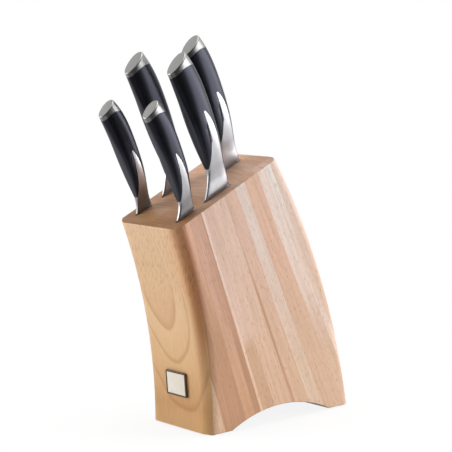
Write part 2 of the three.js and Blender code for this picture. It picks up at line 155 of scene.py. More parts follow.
# Each knife's own sizes, in the order of KNIVES_KEY, in millimetres except for SHARES. side is its slot's
# place across the block against the slot offset. mouth is how far the blade's back lies behind the top front
# edge, or ahead of the top back edge where it is negative. blade_length, blade_depth and tip_drop are the
# blade's, with its point below its back by a share of the depth. grip, width, rise, butt and bow are the
# grip's length and width, the swell of its back, its depth at the butt and the bow of its belly. cap is the
# end cap's length along the spine. lobe and lobe_depth place the low tip of the grip's belly, and flame the
# tip of the steel.
SHARES = ("side", "tip_drop")
KNIVES_KEY = ("side", "mouth", "blade_length", "blade_depth", "tip_drop", "grip", "width", "rise", "butt",
              "bow", "cap", "lobe", "lobe_depth", "flame")
KNIVES = {
    "paring": (-1, 33.2, 90, 18.5, 0.45, 107, 16, 3.6, 24, -1.7, 11, 14, 13.8, 58),
    "utility": (1, 34.2, 125, 21.7, 0.4, 107, 16, 5, 22.5, -1.7, 11, 14, 13.8, 58),
    "carving": (-1, 79.9, 200, 31.2, 0.55, 131, 18, 3.6, 28.4, -0.5, 12.2, 24, 19.2, 77),
    "chef": (1, 79.9, 200, 31.2, 0.35, 131, 18, 3.6, 28.4, -0.5, 12.2, 24, 19.2, 77),
    "bread": (0, -11.5, 200, 28, 0.15, 127, 18, 3.4, 27.5, -0.5, 12.2, 23, 18.6, 73),
}


# ---------------------------------------------------------------- meshes

EDGE_ANGLE = math.radians(32)  # faces that meet at more than this keep a crisp edge
MERGE_DISTANCE = 0.001 * MM  # points nearer than this become one
SLIVER_LENGTH = 0.0001 * MM  # edges shorter than this are closed


def settings(name):
    """The scene's property group of that name."""
    return getattr(bpy.context.scene, name)


def surface_faces(rows, columns, closed=True):
    """Quads over a grid of rows and columns, as an array. A closed grid's last column joins its first."""
    row = np.arange(rows - 1)[:, None]
    column = np.arange(columns if closed else columns - 1)[None, :]
    after = (column + 1) % columns
    quads = [row * columns + column, row * columns + after, (row + 1) * columns + after,
             (row + 1) * columns + column]
    return np.stack(np.broadcast_arrays(*quads), -1).reshape(-1, 4)


def tube(points):
    """Closed skin over a grid of points (rows, columns, 3): quads round the sides, and at each end triangles
    from the ring to one point at its middle."""
    rows, columns, _ = points.shape
    middles = points[[0, -1]].mean(axis=1)
    vertices = np.concatenate([points.reshape(-1, 3), middles])
    ring = np.arange(columns)
    after = (ring + 1) % columns
    low = np.stack([after, ring, np.full(columns, rows * columns)], -1)
    last = (rows - 1) * columns
    high = np.stack([last + ring, last + after, np.full(columns, rows * columns + 1)], -1)
    return vertices, surface_faces(rows, columns).tolist() + low.tolist() + high.tolist()


def prism(points):
    """Closed skin over a grid of outlines (stations, outline points, 3), with one flat face at each end."""
    stations, count, _ = points.shape
    ring = np.arange(count)
    ends = [ring[::-1].tolist(), ((stations - 1) * count + ring).tolist()]
    return points.reshape(-1, 3), surface_faces(stations, count).tolist() + ends


def make_piece(name, body, skin, finishes, node=None, choose=None, weighted=False, solidify=0.0):
    """A mesh object that stands for the frame's node of that name, or for another node. choose gives each
    face's place in finishes from the array of their normals. solidify is the wall's thickness, inwards."""
    mesh = bpy.data.meshes.new(name)
    vertices, faces = skin
    mesh.from_pydata(vertices.tolist(), [], faces)
    edit = bmesh.new()
    edit.from_mesh(mesh)
    bmesh.ops.remove_doubles(edit, verts=edit.verts, dist=MERGE_DISTANCE)
    bmesh.ops.dissolve_degenerate(edit, edges=edit.edges, dist=SLIVER_LENGTH)
    bmesh.ops.recalc_face_normals(edit, faces=edit.faces)
    edit.to_mesh(mesh)
    edit.free()
    mesh.shade_smooth()
    mesh.set_sharp_from_angle(angle=EDGE_ANGLE)
    for finish in finishes:
        mesh.materials.append(finish)
    if choose:
        normals = np.empty(len(mesh.polygons) * 3)
        mesh.polygons.foreach_get("normal", normals)
        places = choose(normals.reshape(-1, 3))
        mesh.polygons.foreach_set("material_index", places.astype(np.int32))
    piece = bpy.data.objects.new(name + "_piece", mesh)
    bpy.context.scene.collection.objects.link(piece)
    if solidify:
        wall = piece.modifiers.new("wall", "SOLIDIFY")
        wall.thickness = solidify
        wall.offset = -1.0
    if weighted:
        piece.modifiers.new("flat faces", "WEIGHTED_NORMAL").keep_sharp = True
    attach(piece, body)
    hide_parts(node or name)


# ---------------------------------------------------------------- the block's shape

REPEATS = 30  # enough for a crossing that is found by repetition to settle
FRONT_STEPS = 48  # steps of an outline: along the front or the back, along the arch, and round an arris
ARCH_STEPS = 40
ARRIS_STEPS = 4
CORNER_STATIONS = 24  # outlines round the corners of an outer board
FACING_CORNER_STATIONS = 16  # outlines round a corner of the facing, and across its flat middle
FACING_FLAT_STATIONS = 9
FACING_EDGE = 0.02 * MM  # thickness of the facing where it runs out


class BlockShape:
    """The block's outline in the plane of Y and Z, in metres in the frame."""

    def __init__(self):
        """Works the arcs and the flat top out from the block's sizes and the frame's places."""
        sizes = settings("block_sizes")
        self.sizes = sizes
        self.front_foot = BACK_FOOT - sizes.foot_depth
        overhang = self.front_foot - TOP_FRONT
        self.front_radius = (sizes.front_height ** 2 + overhang ** 2) / (2 * overhang)
        back_height = BACK_TOP - UNDERSIDE
        lean = sizes.back_setback
        chord = math.hypot(lean, back_height)
        rise = math.sqrt(sizes.back_radius ** 2 - (chord / 2) ** 2) / chord
        self.back_centre = (BACK_FOOT - lean / 2 - back_height * rise,
                            UNDERSIDE + back_height / 2 - lean * rise)
        self.top_front = np.array([TOP_FRONT, UNDERSIDE + sizes.front_height])
        self.top_back = np.array([BACK_FOOT - lean, BACK_TOP])
        along = self.top_back - self.top_front
        self.top_length = float(np.hypot(*along))
        self.along = along / self.top_length
        self.normal = np.array([-self.along[1], self.along[0]])

    def front(self, z):
        """Y of the front: an arc that rises square from the table and leans forward."""
        return self.front_foot + np.sqrt(self.front_radius ** 2 - (z - UNDERSIDE) ** 2) - self.front_radius

    def back(self, z):
        """Y of the back: an arc through the foot and the top edge."""
        return self.back_centre[0] + np.sqrt(self.sizes.back_radius ** 2 - (z - self.back_centre[1]) ** 2)

    def top(self, y):
        """Z of the flat top at y."""
        return self.top_front[1] + (y - self.top_front[0]) * self.along[1] / self.along[0]

    def top_of(self, curve, shift):
        """Where the curve, moved back by shift, meets the top: z = top(curve(z) + shift), by repetition."""
        z = self.top_front[1]
        for _ in range(REPEATS):
            z = self.top(curve(z) + shift)
        return z

    def arch(self, y):
        """Z of the underside at y: flat toes, and between them an arc."""
        start = self.front_foot + self.sizes.front_toe
        end = BACK_FOOT - self.sizes.rear_toe
        half = (end - start) / 2
        radius = (half ** 2 + self.sizes.arch_rise ** 2) / (2 * self.sizes.arch_rise)
        reach = np.clip(y - (start + end) / 2, -half, half)
        return UNDERSIDE + self.sizes.arch_rise - radius + np.sqrt(radius ** 2 - reach ** 2)

    def on_top(self, distance):
        """The point of the top that lies so far behind its front edge, as (y, z)."""
        return self.top_front + self.along * distance

    def inset(self, x):
        """How far the front and back give way at x: nothing, then the quarter circle of the corner."""
        radius = self.sizes.corner_radius
        over = np.clip(np.abs(x) - (self.sizes.width / 2 - radius), 0, radius)
        return radius - np.sqrt(radius ** 2 - over ** 2)


def knife_sizes(name):
    """The knife's sizes by name, in metres except for its shares. Its mouth is counted from the top front
    edge."""
    sizes = {key: value if key in SHARES else value * MM for key, value in zip(KNIVES_KEY, KNIVES[name])}
    if sizes["mouth"] < 0:
        sizes["mouth"] += BlockShape().top_length
    return sizes


def knife_matrix(name):
    """Puts the knife's own frame in the block: origin at the blade's back at the mouth, Z up the knife, Y
    towards its spine."""
    sizes = knife_sizes(name)
    y, z = BlockShape().on_top(sizes["mouth"])
    x = sizes["side"] * settings("block_sizes").slot_offset
    return Matrix.Translation((x, y, z)) @ Matrix.Rotation(settings("knife_shape").lean, 4, "X")


def slot_notch(name):
    """The slot's side view as four (y, z) points: mouth front, floor front, floor back, mouth back."""
    shape = BlockShape()
    sizes = knife_sizes(name)
    lean = settings("knife_shape").lean
    across = np.array([math.cos(lean), math.sin(lean)])
    up = np.array([-math.sin(lean), math.cos(lean)])
    origin = shape.on_top(sizes["mouth"])
    play = shape.sizes.slot_play
    floor = -(sizes["blade_length"] + shape.sizes.slot_floor)
    corners = []
    for reach in (-sizes["blade_depth"] - play, play):
        mouth = -reach * (across @ shape.normal) / (up @ shape.normal)
        corners.append([origin + across * reach + up * mouth, origin + across * reach + up * floor])
    (front_mouth, front_floor), (back_mouth, back_floor) = corners
    return np.array([front_mouth, front_floor, back_floor, back_mouth])


def eased(before, corner, after, turn):
    """A corner rounded by a parabola, at shares t of its turn: (1 - t)^2 before + 2 t (1 - t) corner
    + t^2 after."""
    turn = turn[:, None]
    return (1 - turn) ** 2 * before + 2 * turn * (1 - turn) * corner + turn ** 2 * after


def board_outline(shape, front_shift, back_shift, drop, notches):
    """Outline of a board in Y and Z: up the front arc moved back by front_shift, along the top with its
    notches, down the back arc moved ahead by back_shift, and along the arched underside. drop draws the top
    and the underside in by that much, and the top back corner is rounded by the arris."""
    arris = shape.sizes.arris
    front_top = shape.top_of(shape.front, front_shift)
    back_top = shape.top_of(shape.back, -back_shift)
    lift = drop / shape.along[0]
    rise = np.linspace(0, 1, FRONT_STEPS)
    front_z = UNDERSIDE + drop + (front_top - lift - UNDERSIDE - drop) * rise
    front = np.stack([shape.front(front_z) + front_shift, front_z], -1)
    top = np.array([(y, z - lift) for notch in notches for y, z in notch]).reshape(-1, 2)
    back_z = UNDERSIDE + drop + (back_top - lift - arris - UNDERSIDE - drop) * rise[::-1]
    back = np.stack([shape.back(back_z) - back_shift, back_z], -1)
    corner = np.array([shape.back(back_top) - back_shift, back_top - lift])
    turn = np.linspace(0, 1, ARRIS_STEPS + 1)[:-1]
    rounded = eased(corner - shape.along * arris, corner, back[0], turn)
    start = shape.front_foot + shape.sizes.front_toe
    end = BACK_FOOT - shape.sizes.rear_toe
    arch_y = np.linspace(end, start, ARCH_STEPS)
    arch = np.stack([arch_y, shape.arch(arch_y) + drop], -1)
    return np.concatenate([front, top, rounded, back, arch])


def at_stations(stations):
    """Outlines in Y and Z carried along X: stations is a list of (x, outline)."""
    return np.stack([np.concatenate([np.full((len(outline), 1), x), outline], 1) for x, outline in stations])


def closed_notch(notch):
    """The notch with no depth: its floor lies on its mouth."""
    return notch[[0, 0, 3, 3]]


def inner_board(shape, side):
    """Board between the middle slot and a side slot. Its grooves are notches that are open at the stations
    on the groove's side of the wall and closed on the other."""
    sizes = shape.sizes
    notches = sorted([(slot_notch(name), KNIVES[name][0]) for name in KNIVES if KNIVES[name][0] in (0, side)],
                     key=lambda slot: slot[0][0][0])

    def outline(groove):
        """The board's outline where the slots at that place across the block are open."""
        cut = [notch if place == groove else closed_notch(notch) for notch, place in notches]
        return board_outline(shape, sizes.facing + sizes.glue_line, 0.0, 0.0, cut)

    half_slot = sizes.slot_width / 2
    joint = sizes.slot_offset + half_slot
    glue = sizes.glue_line / 2
    middle, solid, outer = outline(0), outline(None), outline(side)
    return prism(at_stations([
        (side * glue, middle), (side * half_slot, middle), (side * half_slot, solid),
        (side * (joint - sizes.slot_width), solid), (side * (joint - sizes.slot_width), outer),
        (side * (joint - glue), outer),
    ]))


def corner_stations(shape, start, end, count):
    """Places across the block from start to end, at even angles round the corner."""
    centre = shape.sizes.width / 2 - shape.sizes.corner_radius
    low, high = [math.asin(np.clip((x - centre) / shape.sizes.corner_radius, 0, 1)) for x in (start, end)]
    return centre + shape.sizes.corner_radius * np.sin(np.linspace(low, high, count))


def outer_board(shape, side):
    """Board on the outside: its front and back give way round the corners, and the arris round the side is a
    quarter circle that draws the top and the underside in."""
    sizes = shape.sizes
    arris = sizes.arris
    start = sizes.slot_offset + sizes.slot_width / 2 + sizes.glue_line / 2
    joint = sizes.facing + sizes.glue_line
    stations = []
    for x in [start, *corner_stations(shape, start, sizes.width / 2, CORNER_STATIONS)[1:]]:
        over = max(0.0, (x - (sizes.width / 2 - arris)) / arris)
        drop = arris * (1 - math.sqrt(max(0.0, 1 - over ** 2)))
        inset = float(shape.inset(x))
        stations.append((side * x, board_outline(shape, max(joint, inset), inset, drop, [])))
    return prism(at_stations(stations))


def facing(shape):
    """Front facing: between the front arc and the same arc moved back by its thickness. It thins to nothing
    where the corner's quarter circle reaches its back."""
    sizes = shape.sizes
    centre = sizes.width / 2 - sizes.corner_radius
    edge = centre + math.sqrt(sizes.corner_radius ** 2 - (sizes.corner_radius - sizes.facing) ** 2)
    right = corner_stations(shape, centre, edge, FACING_CORNER_STATIONS)
    flat = np.linspace(-centre, centre, FACING_FLAT_STATIONS)
    places = [*(-right[::-1]), *flat[1:-1], *right]
    return prism(at_stations([(x, facing_outline(shape, float(shape.inset(x)))) for x in places]))


def facing_outline(shape, inset):
    """Outline of the facing in Y and Z where its front gives way by inset: up the front, round the arris,
    along the top, and down the back."""
    sizes = shape.sizes
    thickness = max(sizes.facing - inset, FACING_EDGE)
    arris = min(sizes.arris, thickness / 2)
    front_top = shape.top_of(shape.front, inset)
    back_top = shape.top_of(shape.front, sizes.facing)
    rise = np.linspace(0, 1, FRONT_STEPS)
    front_z = UNDERSIDE + (front_top - arris - UNDERSIDE) * rise
    front = np.stack([shape.front(front_z) + inset, front_z], -1)
    corner = np.array([shape.front(front_top) + inset, front_top])
    turn = np.linspace(0, 1, ARRIS_STEPS + 1)[1:]
    rounded = eased(front[-1], corner, corner + shape.along * arris, turn)
    back_z = UNDERSIDE + (back_top - UNDERSIDE) * rise[::-1]
    back = np.stack([shape.front(back_z) + inset + thickness, back_z], -1)
    return np.concatenate([front, rounded, back])


# ---------------------------------------------------------------- the knives' shapes

ROUND_COLUMNS = 96  # points round the grip and its cap
EVEN_ANGLES = np.linspace(0, 2 * math.pi, ROUND_COLUMNS, endpoint=False)
RING_REPEATS = 12  # enough for a ring on a slanted plane to settle
SWELL_END = 0.42  # shares of the grip's length: its back has swelled up fully, and starts to fall
DROP_START = 0.6
DROP_POWER = 3
BUTT_DROP = 8 * MM
LOBE_WIDTH_SHARE = 0.36  # width at the lobe's tip against the full width, and its curve up to that
WIDTH_POWER = 2.2
BUTT_WIDTH_SHARE = 0.86  # width at the butt, and the share of the grip's length from which it narrows
TAPER_START = 0.5
BOLSTER_SWEEP_POWER = 1.6
BOLSTER_SQUARENESS = 6.0  # exponents of the superellipse section
WAIST_SQUARENESS = 3.6
GRIP_SQUARENESS = 2.8
BELLY_SQUARENESS = 6.0  # the belly is flat up to the lobe, and round from this share of the grip's length
BELLY_ROUND_END = 0.72
BUTT_SQUARENESS = 2.0
SEAM_ARCH = 2.6 * MM  # the cap's seam: rise in the middle of the grip's side, and swing to both sides of it
SEAM_SWING = 0.35 * MM
# Sides of the flame at its root and its tip, as shares of the lobe's depth, and the powers of their curves.
FLAME_ROOT = 0.03
FLAME_TIP_SPINE = 0.4
FLAME_TIP_BELLY = 0.49
FLAME_SPINE_POWER = 4
FLAME_BELLY_POWER = 3.2
SHOULDER_END = 0.5  # share of the lobe's height to which the grip runs down along the spine
BOLSTER_TAIL = 3 * MM  # bolster below the mouth of the slot
# The bolster's flared foot: how far above the mouth it starts, is full and ends, and how far it flares.
FOOT_START = 1.2 * MM
FOOT_FULL = 1.6 * MM
FOOT_END = 14 * MM
FOOT_FLARE = 0.4 * MM


def smooth_step(value, low, high):
    """0 below low, 1 above high, and a smooth S between."""
    part = np.clip((value - low) / (high - low), 0, 1)
    return part * part * (3 - 2 * part)


def mix(low, high, part):
    """The value that part of the way from low to high."""
    return low + (high - low) * part


class KnifeForm:
    """A knife's surfaces in its own frame, in metres. Heights z may be arrays."""

    def __init__(self, name):
        """Takes the knife's sizes as attributes: blade_length, grip, lobe and the others of KNIVES_KEY."""
        self.__dict__.update(knife_sizes(name))
        self.shape = settings("knife_shape")
        self.matrix = np.array(knife_matrix(name))

    def place(self, points):
        """Points of the knife's frame in the block's."""
        return points @ self.matrix[:3, :3].T + self.matrix[:3, 3]

    def spine(self, z):
        """The grip's back swells up from the blade's, and falls with a power of the way to the butt."""
        share = z / self.grip
        fall = np.clip((share - DROP_START) / (1 - DROP_START), 0, None)
        return self.rise * smooth_step(share, 0, SWELL_END) - BUTT_DROP * fall ** DROP_POWER

    def belly(self, z):
        """The grip's belly bows between the lobe's tip and the butt. Below the lobe it sweeps out to the heel
        with a power of the way down."""
        share = (z - self.lobe) / (self.grip - self.lobe)
        bowed = -mix(self.lobe_depth, self.butt, share) - self.bow * 4 * share * (1 - share)
        below = np.clip(1 - np.clip(z, 0, None) / self.lobe, 0, 1)
        swept = -self.lobe_depth - (self.blade_depth - self.lobe_depth) * below ** BOLSTER_SWEEP_POWER
        return np.where(z >= self.lobe, bowed, swept)

    def half_width(self, z):
        """Half the width: the blade's at the mouth, then a power curve to the lobe's tip, then another to the
        grip's full width half way up, with no kink between them. The foot flares out just above the block."""
        widest = self.width / 2
        narrow = self.shape.blade / 2
        at_lobe = widest * LOBE_WIDTH_SHARE
        slope = widest * (1 - LOBE_WIDTH_SHARE) * WIDTH_POWER * 2 / (self.grip - self.lobe)
        power = slope * self.lobe / (at_lobe - narrow)
        foot = smooth_step(z, FOOT_START, FOOT_FULL) * (1 - smooth_step(z, FOOT_START, FOOT_END))
        low = mix(narrow, at_lobe, np.clip(z / self.lobe, 0, 1) ** power) + FOOT_FLARE * foot
        to_widest = np.clip(1 - 2 * (z - self.lobe) / (self.grip - self.lobe), 0, 1)
        high = widest * (1 - (1 - LOBE_WIDTH_SHARE) * to_widest ** WIDTH_POWER)
        taper = mix(1, BUTT_WIDTH_SHARE, smooth_step(z / self.grip, TAPER_START, 1))
        return np.where(z < self.lobe, low, high * taper)

    def squareness(self, z, on_belly):
        """Exponent of the section: nearly square in the mouth, rounded on the grip, an ellipse at the butt.
        The belly's half stays nearly square up to the lobe."""
        grip = mix(GRIP_SQUARENESS, BUTT_SQUARENESS, smooth_step(z / self.grip, TAPER_START, 1))
        waist = mix(BOLSTER_SQUARENESS, WAIST_SQUARENESS, smooth_step(z, 0, FOOT_START))
        spine = mix(waist, grip, smooth_step(z, FOOT_START, self.lobe))
        belly = mix(BELLY_SQUARENESS, grip, smooth_step(z, self.lobe, self.grip * BELLY_ROUND_END))
        return np.where(on_belly, belly, spine)

    def section(self, z, angle, shrink=0.0):
        """Point of the superellipse at height z and angle, drawn in by shrink: x = w cos^(2/n), and
        y = middle + h sin^(2/n), with the signs of the cosine and the sine."""
        middle = (self.spine(z) + self.belly(z)) / 2
        half = (self.spine(z) - self.belly(z)) / 2 - shrink
        cosine, sine = np.cos(angle), np.sin(angle)
        power = 2 / self.squareness(z, sine < 0)
        x = (self.half_width(z) - shrink) * np.sign(cosine) * np.abs(cosine) ** power
        y = middle + half * np.sign(sine) * np.abs(sine) ** power
        return np.stack(np.broadcast_arrays(x, y, z), -1)

    def angle_at(self, z, y):
        """Angle of the section's right side at height y of the section: the inverse of section."""
        middle = (self.spine(z) + self.belly(z)) / 2
        half = (self.spine(z) - self.belly(z)) / 2
        share = np.clip((y - middle) / half, -1, 1)
        return np.arcsin(np.sign(share) * np.abs(share) ** (self.squareness(z, share < 0) / 2))

    def steel_edges(self, z):
        """The steel's lower and upper edge on the grip's side at height z: the whole side below the lobe,
        then a flame whose belly edge bends in fast and whose spine edge bends in late."""
        part = np.clip((z - self.lobe) / (self.flame - self.lobe), 0, 1)
        belly_edge = -self.lobe_depth * mix(FLAME_TIP_BELLY, 1, (1 - part) ** FLAME_BELLY_POWER)
        spine_edge = -self.lobe_depth * mix(FLAME_ROOT, FLAME_TIP_SPINE, part ** FLAME_SPINE_POWER)
        fallen = np.clip((1 - z / self.lobe) / (1 - SHOULDER_END), 0, 1)
        shoulder = mix(-self.lobe_depth * FLAME_ROOT, self.spine(z), fallen)
        low = np.where(z < self.lobe, self.belly(z), belly_edge)
        high = np.where(z < self.lobe, shoulder, spine_edge)
        return np.maximum(low, self.belly(z)), np.minimum(high, self.spine(z))

    def butt_height(self, y, lift, tilt):
        """Height of a plane across the grip at y. It meets the back at the butt less lift, and falls towards
        the belly by tilt."""
        return self.grip - lift + (y - self.spine(self.grip)) * math.tan(tilt)

    def seam_height(self, y, lift):
        """Height of the cap's seam at y: a plane, plus half a sine wave across the grip, less a whole one."""
        belly, spine = self.belly(self.grip), self.spine(self.grip)
        share = (y - belly) / (spine - belly)
        wave = SEAM_ARCH * np.sin(math.pi * share) - SEAM_SWING * np.sin(2 * math.pi * share)
        return self.butt_height(y, lift, self.shape.cap_seam_tilt) + wave


def even_round(form, z_low, z_high, shares, shrinks):
    """Rings of the section between two heights given at each angle. Where a height is a function of y, the
    ring is found by repetition: z = height(y of the section at z)."""
    rings = []
    for share, shrink in zip(shares, shrinks):
        z = np.full(ROUND_COLUMNS, form.grip * share)
        for _ in range(RING_REPEATS):
            y = form.section(z, EVEN_ANGLES, shrink)[:, 1]
            z = mix(z_low(y), z_high(y), share)
        rings.append(form.section(z, EVEN_ANGLES, shrink))
    return np.array(rings)


GRIP_ROWS = 230
GRIP_TUCK = 1 * MM  # the grip starts this far below the steel's shoulder
GRIP_END_INSETS = (0.25 * MM, 1.5 * MM)  # rings that close the grip at the seam, drawn in by this
STEEL_BED = 0.15 * MM  # room between the grip and the steel that is let into it
LIP_START = 0.07 * MM  # the slope under the steel's edge starts and ends this far behind it
LIP_END = 0.49 * MM
LIP_AT_TIP = 0.25  # the slope's depth below the flame's tip, against the way down from it


def grip_skin(form):
    """The moulded grip: the whole section from under the bolster to the seam. Under the steel it is drawn in
    by the steel's thickness, over a short slope that the steel hides. The rings at the seam stay as they
    are."""
    shape = form.shape
    low = form.lobe * SHOULDER_END - GRIP_TUCK

    def bottom(y):
        """The lower end is level."""
        return np.full_like(y, low)

    def seam(y):
        """The upper end follows the seam."""
        return form.seam_height(y, form.cap + shape.seam / 2)

    shares = np.concatenate([np.linspace(0, 1, GRIP_ROWS), np.ones(len(GRIP_END_INSETS))])
    shrinks = np.concatenate([np.zeros(GRIP_ROWS), GRIP_END_INSETS])
    rings = even_round(form, bottom, seam, shares, shrinks)
    z = rings[..., 2]
    y = rings[..., 1]
    edge_low, edge_high = form.steel_edges(z)
    under_side = np.minimum(np.minimum(y - edge_low, edge_high - y), (form.flame - z) * LIP_AT_TIP)
    under_steel = np.where(z < form.lobe, edge_high - y, under_side)
    deep = smooth_step(under_steel, LIP_START, LIP_END)
    deep[GRIP_ROWS - 1:] = 0
    drawn = form.section(z, np.broadcast_to(EVEN_ANGLES, z.shape), shape.shell + STEEL_BED)
    vertices, faces = tube(mix(rings, drawn, deep[..., None]))
    return form.place(vertices), faces


CAP_ROWS = 26
CAP_START_INSETS = (1.5 * MM, 0.5 * MM, 0.12 * MM)  # rings that close the cap at the seam, drawn in by this
CAP_RIM = 1.3 * MM  # round of the rim of the end face, and its rings in degrees round it
CAP_RIM_TURNS = (12, 25, 38, 52, 66, 78, 90)
CAP_DOME = 0.25 * MM  # rise of the end face in its middle, and its rings as shares of the way out
CAP_DOME_RINGS = (0.985, 0.95, 0.85, 0.7, 0.5, 0.3, 0.12)


def cap_skin(form):
    """The end cap: the section between the seam and the end face, with a rounded rim and a slightly domed
    face."""
    shape = form.shape
    tilt = shape.cap_face_tilt

    def seam(y):
        """The lower end follows the seam."""
        return form.seam_height(y, form.cap - shape.seam / 2)

    def face(y):
        """The upper end is the end face, lowered by the round of its rim."""
        return form.butt_height(y, CAP_RIM, tilt)

    shares = np.concatenate([np.zeros(len(CAP_START_INSETS)), np.linspace(0, 1, CAP_ROWS)])
    shrinks = np.concatenate([CAP_START_INSETS, np.zeros(CAP_ROWS)])
    rings = even_round(form, seam, face, shares, shrinks)
    last = rings[-1]
    centre = last.mean(axis=0)
    outward = last - centre
    outward /= np.linalg.norm(outward, axis=1, keepdims=True)
    normal = np.array([0.0, -math.sin(tilt), math.cos(tilt)])
    turns = np.radians(CAP_RIM_TURNS)[:, None, None]
    rounded = last - outward * CAP_RIM * (1 - np.cos(turns)) + normal * CAP_RIM * np.sin(turns)
    edge = rounded[-1] - normal * CAP_RIM
    out = np.array(CAP_DOME_RINGS)[:, None, None]
    dome = centre + (edge - centre) * out + normal * (CAP_RIM + CAP_DOME * (1 - out ** 2))
    vertices, faces = tube(np.concatenate([rings, rounded, dome]))
    return form.place(vertices), faces


TAIL_ROWS = 8  # rows of the bolster: below the mouth, over its foot, up to the lobe, and along the flame
FOOT_ROWS = 20
WAIST_ROWS = 56
FLAME_ROWS = 170
FLAME_ROWS_POWER = 1.15  # sets the flame's rows closer together at its root
STEEL_COLUMNS = 49
PROUD_START = 0.3  # share of the lobe's height from which the steel starts to stand out of the grip


def bolster_skin(form):
    """The steel that shows: at each height, the part of the section between the steel's two edges, on both
    sides. Below the lobe the two sides meet in one ring. It stands a little proud of the grip."""
    z = np.concatenate([
        np.linspace(-BOLSTER_TAIL, 0, TAIL_ROWS, endpoint=False),
        np.linspace(0, 2 * FOOT_START, FOOT_ROWS, endpoint=False),
        np.linspace(2 * FOOT_START, form.lobe, WAIST_ROWS, endpoint=False),
        mix(form.lobe, form.flame, np.linspace(0, 1, FLAME_ROWS) ** FLAME_ROWS_POWER),
    ])[:, None]
    low, high = form.steel_edges(z)
    part = np.linspace(0, 1, STEEL_COLUMNS)[None, :]
    first, last = form.angle_at(z, low), form.angle_at(z, high)
    angle = first + (last - first) * part
    proud = form.shape.proud * smooth_step(z, form.lobe * PROUD_START, form.lobe)
    right = form.section(z, angle, -proud)
    left = right * np.array([-1.0, 1.0, 1.0])
    faces = surface_faces(len(z), STEEL_COLUMNS, closed=False)
    mirrored = faces[:, ::-1] + len(z) * STEEL_COLUMNS
    vertices = np.concatenate([right.reshape(-1, 3), left.reshape(-1, 3)])
    return form.place(vertices), faces.tolist() + mirrored.tolist()


BLADE_ROWS = 150
BLADE_END = 0.992  # share of the blade's length at which its point is blunt
BLADE_SPINE_POWER = 5.0
BLADE_EDGE_POWER = 3.2
BLADE_TAPER = 0.55  # loss of thickness from the mouth to the tip
BLADE_GAP = 0.1 * MM  # the blade is this much smaller all round than the bolster's tail at the mouth
# Section of the blade from its back to its edge: the way down, and the width there against the thickness.
BLADE_SECTION = ((0.0, 0.55), (0.004, 0.9), (0.012, 1.0), (0.3, 0.9), (0.6, 0.75), (0.8, 0.6), (0.9, 0.42),
                 (0.97, 0.16), (1.0, 0.04))
SCALLOP_PITCH = 7 * MM
SCALLOP_DEPTH = 1.3 * MM
SCALLOPS_START = (12 * MM, 22 * MM)  # below the mouth: the scallops start, and are full
SCALLOPS_END = (0.86, 0.97)  # shares of the blade's length: they start to fade, and are gone


def blade_skin(form, serrated=False):
    """The blade: at each place along it a section with a flat back whose edges are eased, sides that run
    straight to the bevel, and a fine edge. The back and the edge curve together towards the tip with powers
    of the way along. A serrated edge has a row of shallow scallops: the size of a sine."""
    part = np.linspace(0, BLADE_END, BLADE_ROWS)[::-1][:, None]
    tip = -form.tip_drop * form.blade_depth
    spine = tip * part ** BLADE_SPINE_POWER - BLADE_GAP
    edge = mix(-form.blade_depth, tip, part ** BLADE_EDGE_POWER) + BLADE_GAP
    if serrated:
        along = part * form.blade_length
        fade = smooth_step(along, *SCALLOPS_START) * (1 - smooth_step(part, *SCALLOPS_END))
        edge = edge + SCALLOP_DEPTH * fade * np.abs(np.sin(math.pi * along / SCALLOP_PITCH))
    half = form.shape.blade / 2 * (1 - BLADE_TAPER * part) - BLADE_GAP
    down, width = np.array(BLADE_SECTION).T
    y = spine - (spine - edge) * down
    z = np.broadcast_to(-part * form.blade_length, y.shape)
    right = np.stack([half * width, y, z], -1)
    left = (right * np.array([-1.0, 1.0, 1.0]))[:, ::-1]
    vertices, faces = tube(np.concatenate([right, left], 1))
    return form.place(vertices), faces


# ---------------------------------------------------------------- nodes


def shown(red, green, blue):
    """A colour as it looks on a screen, 0 to 255, as linear light."""
    parts = np.array([red, green, blue]) / 255
    linear = np.where(parts <= 0.04045, parts / 12.92, ((parts + 0.055) / 1.055) ** 2.4)
    return tuple(linear.tolist())


def tinted(colour, share):
    """The colour, lighter or darker by that share."""
    return tuple(part * share for part in colour)


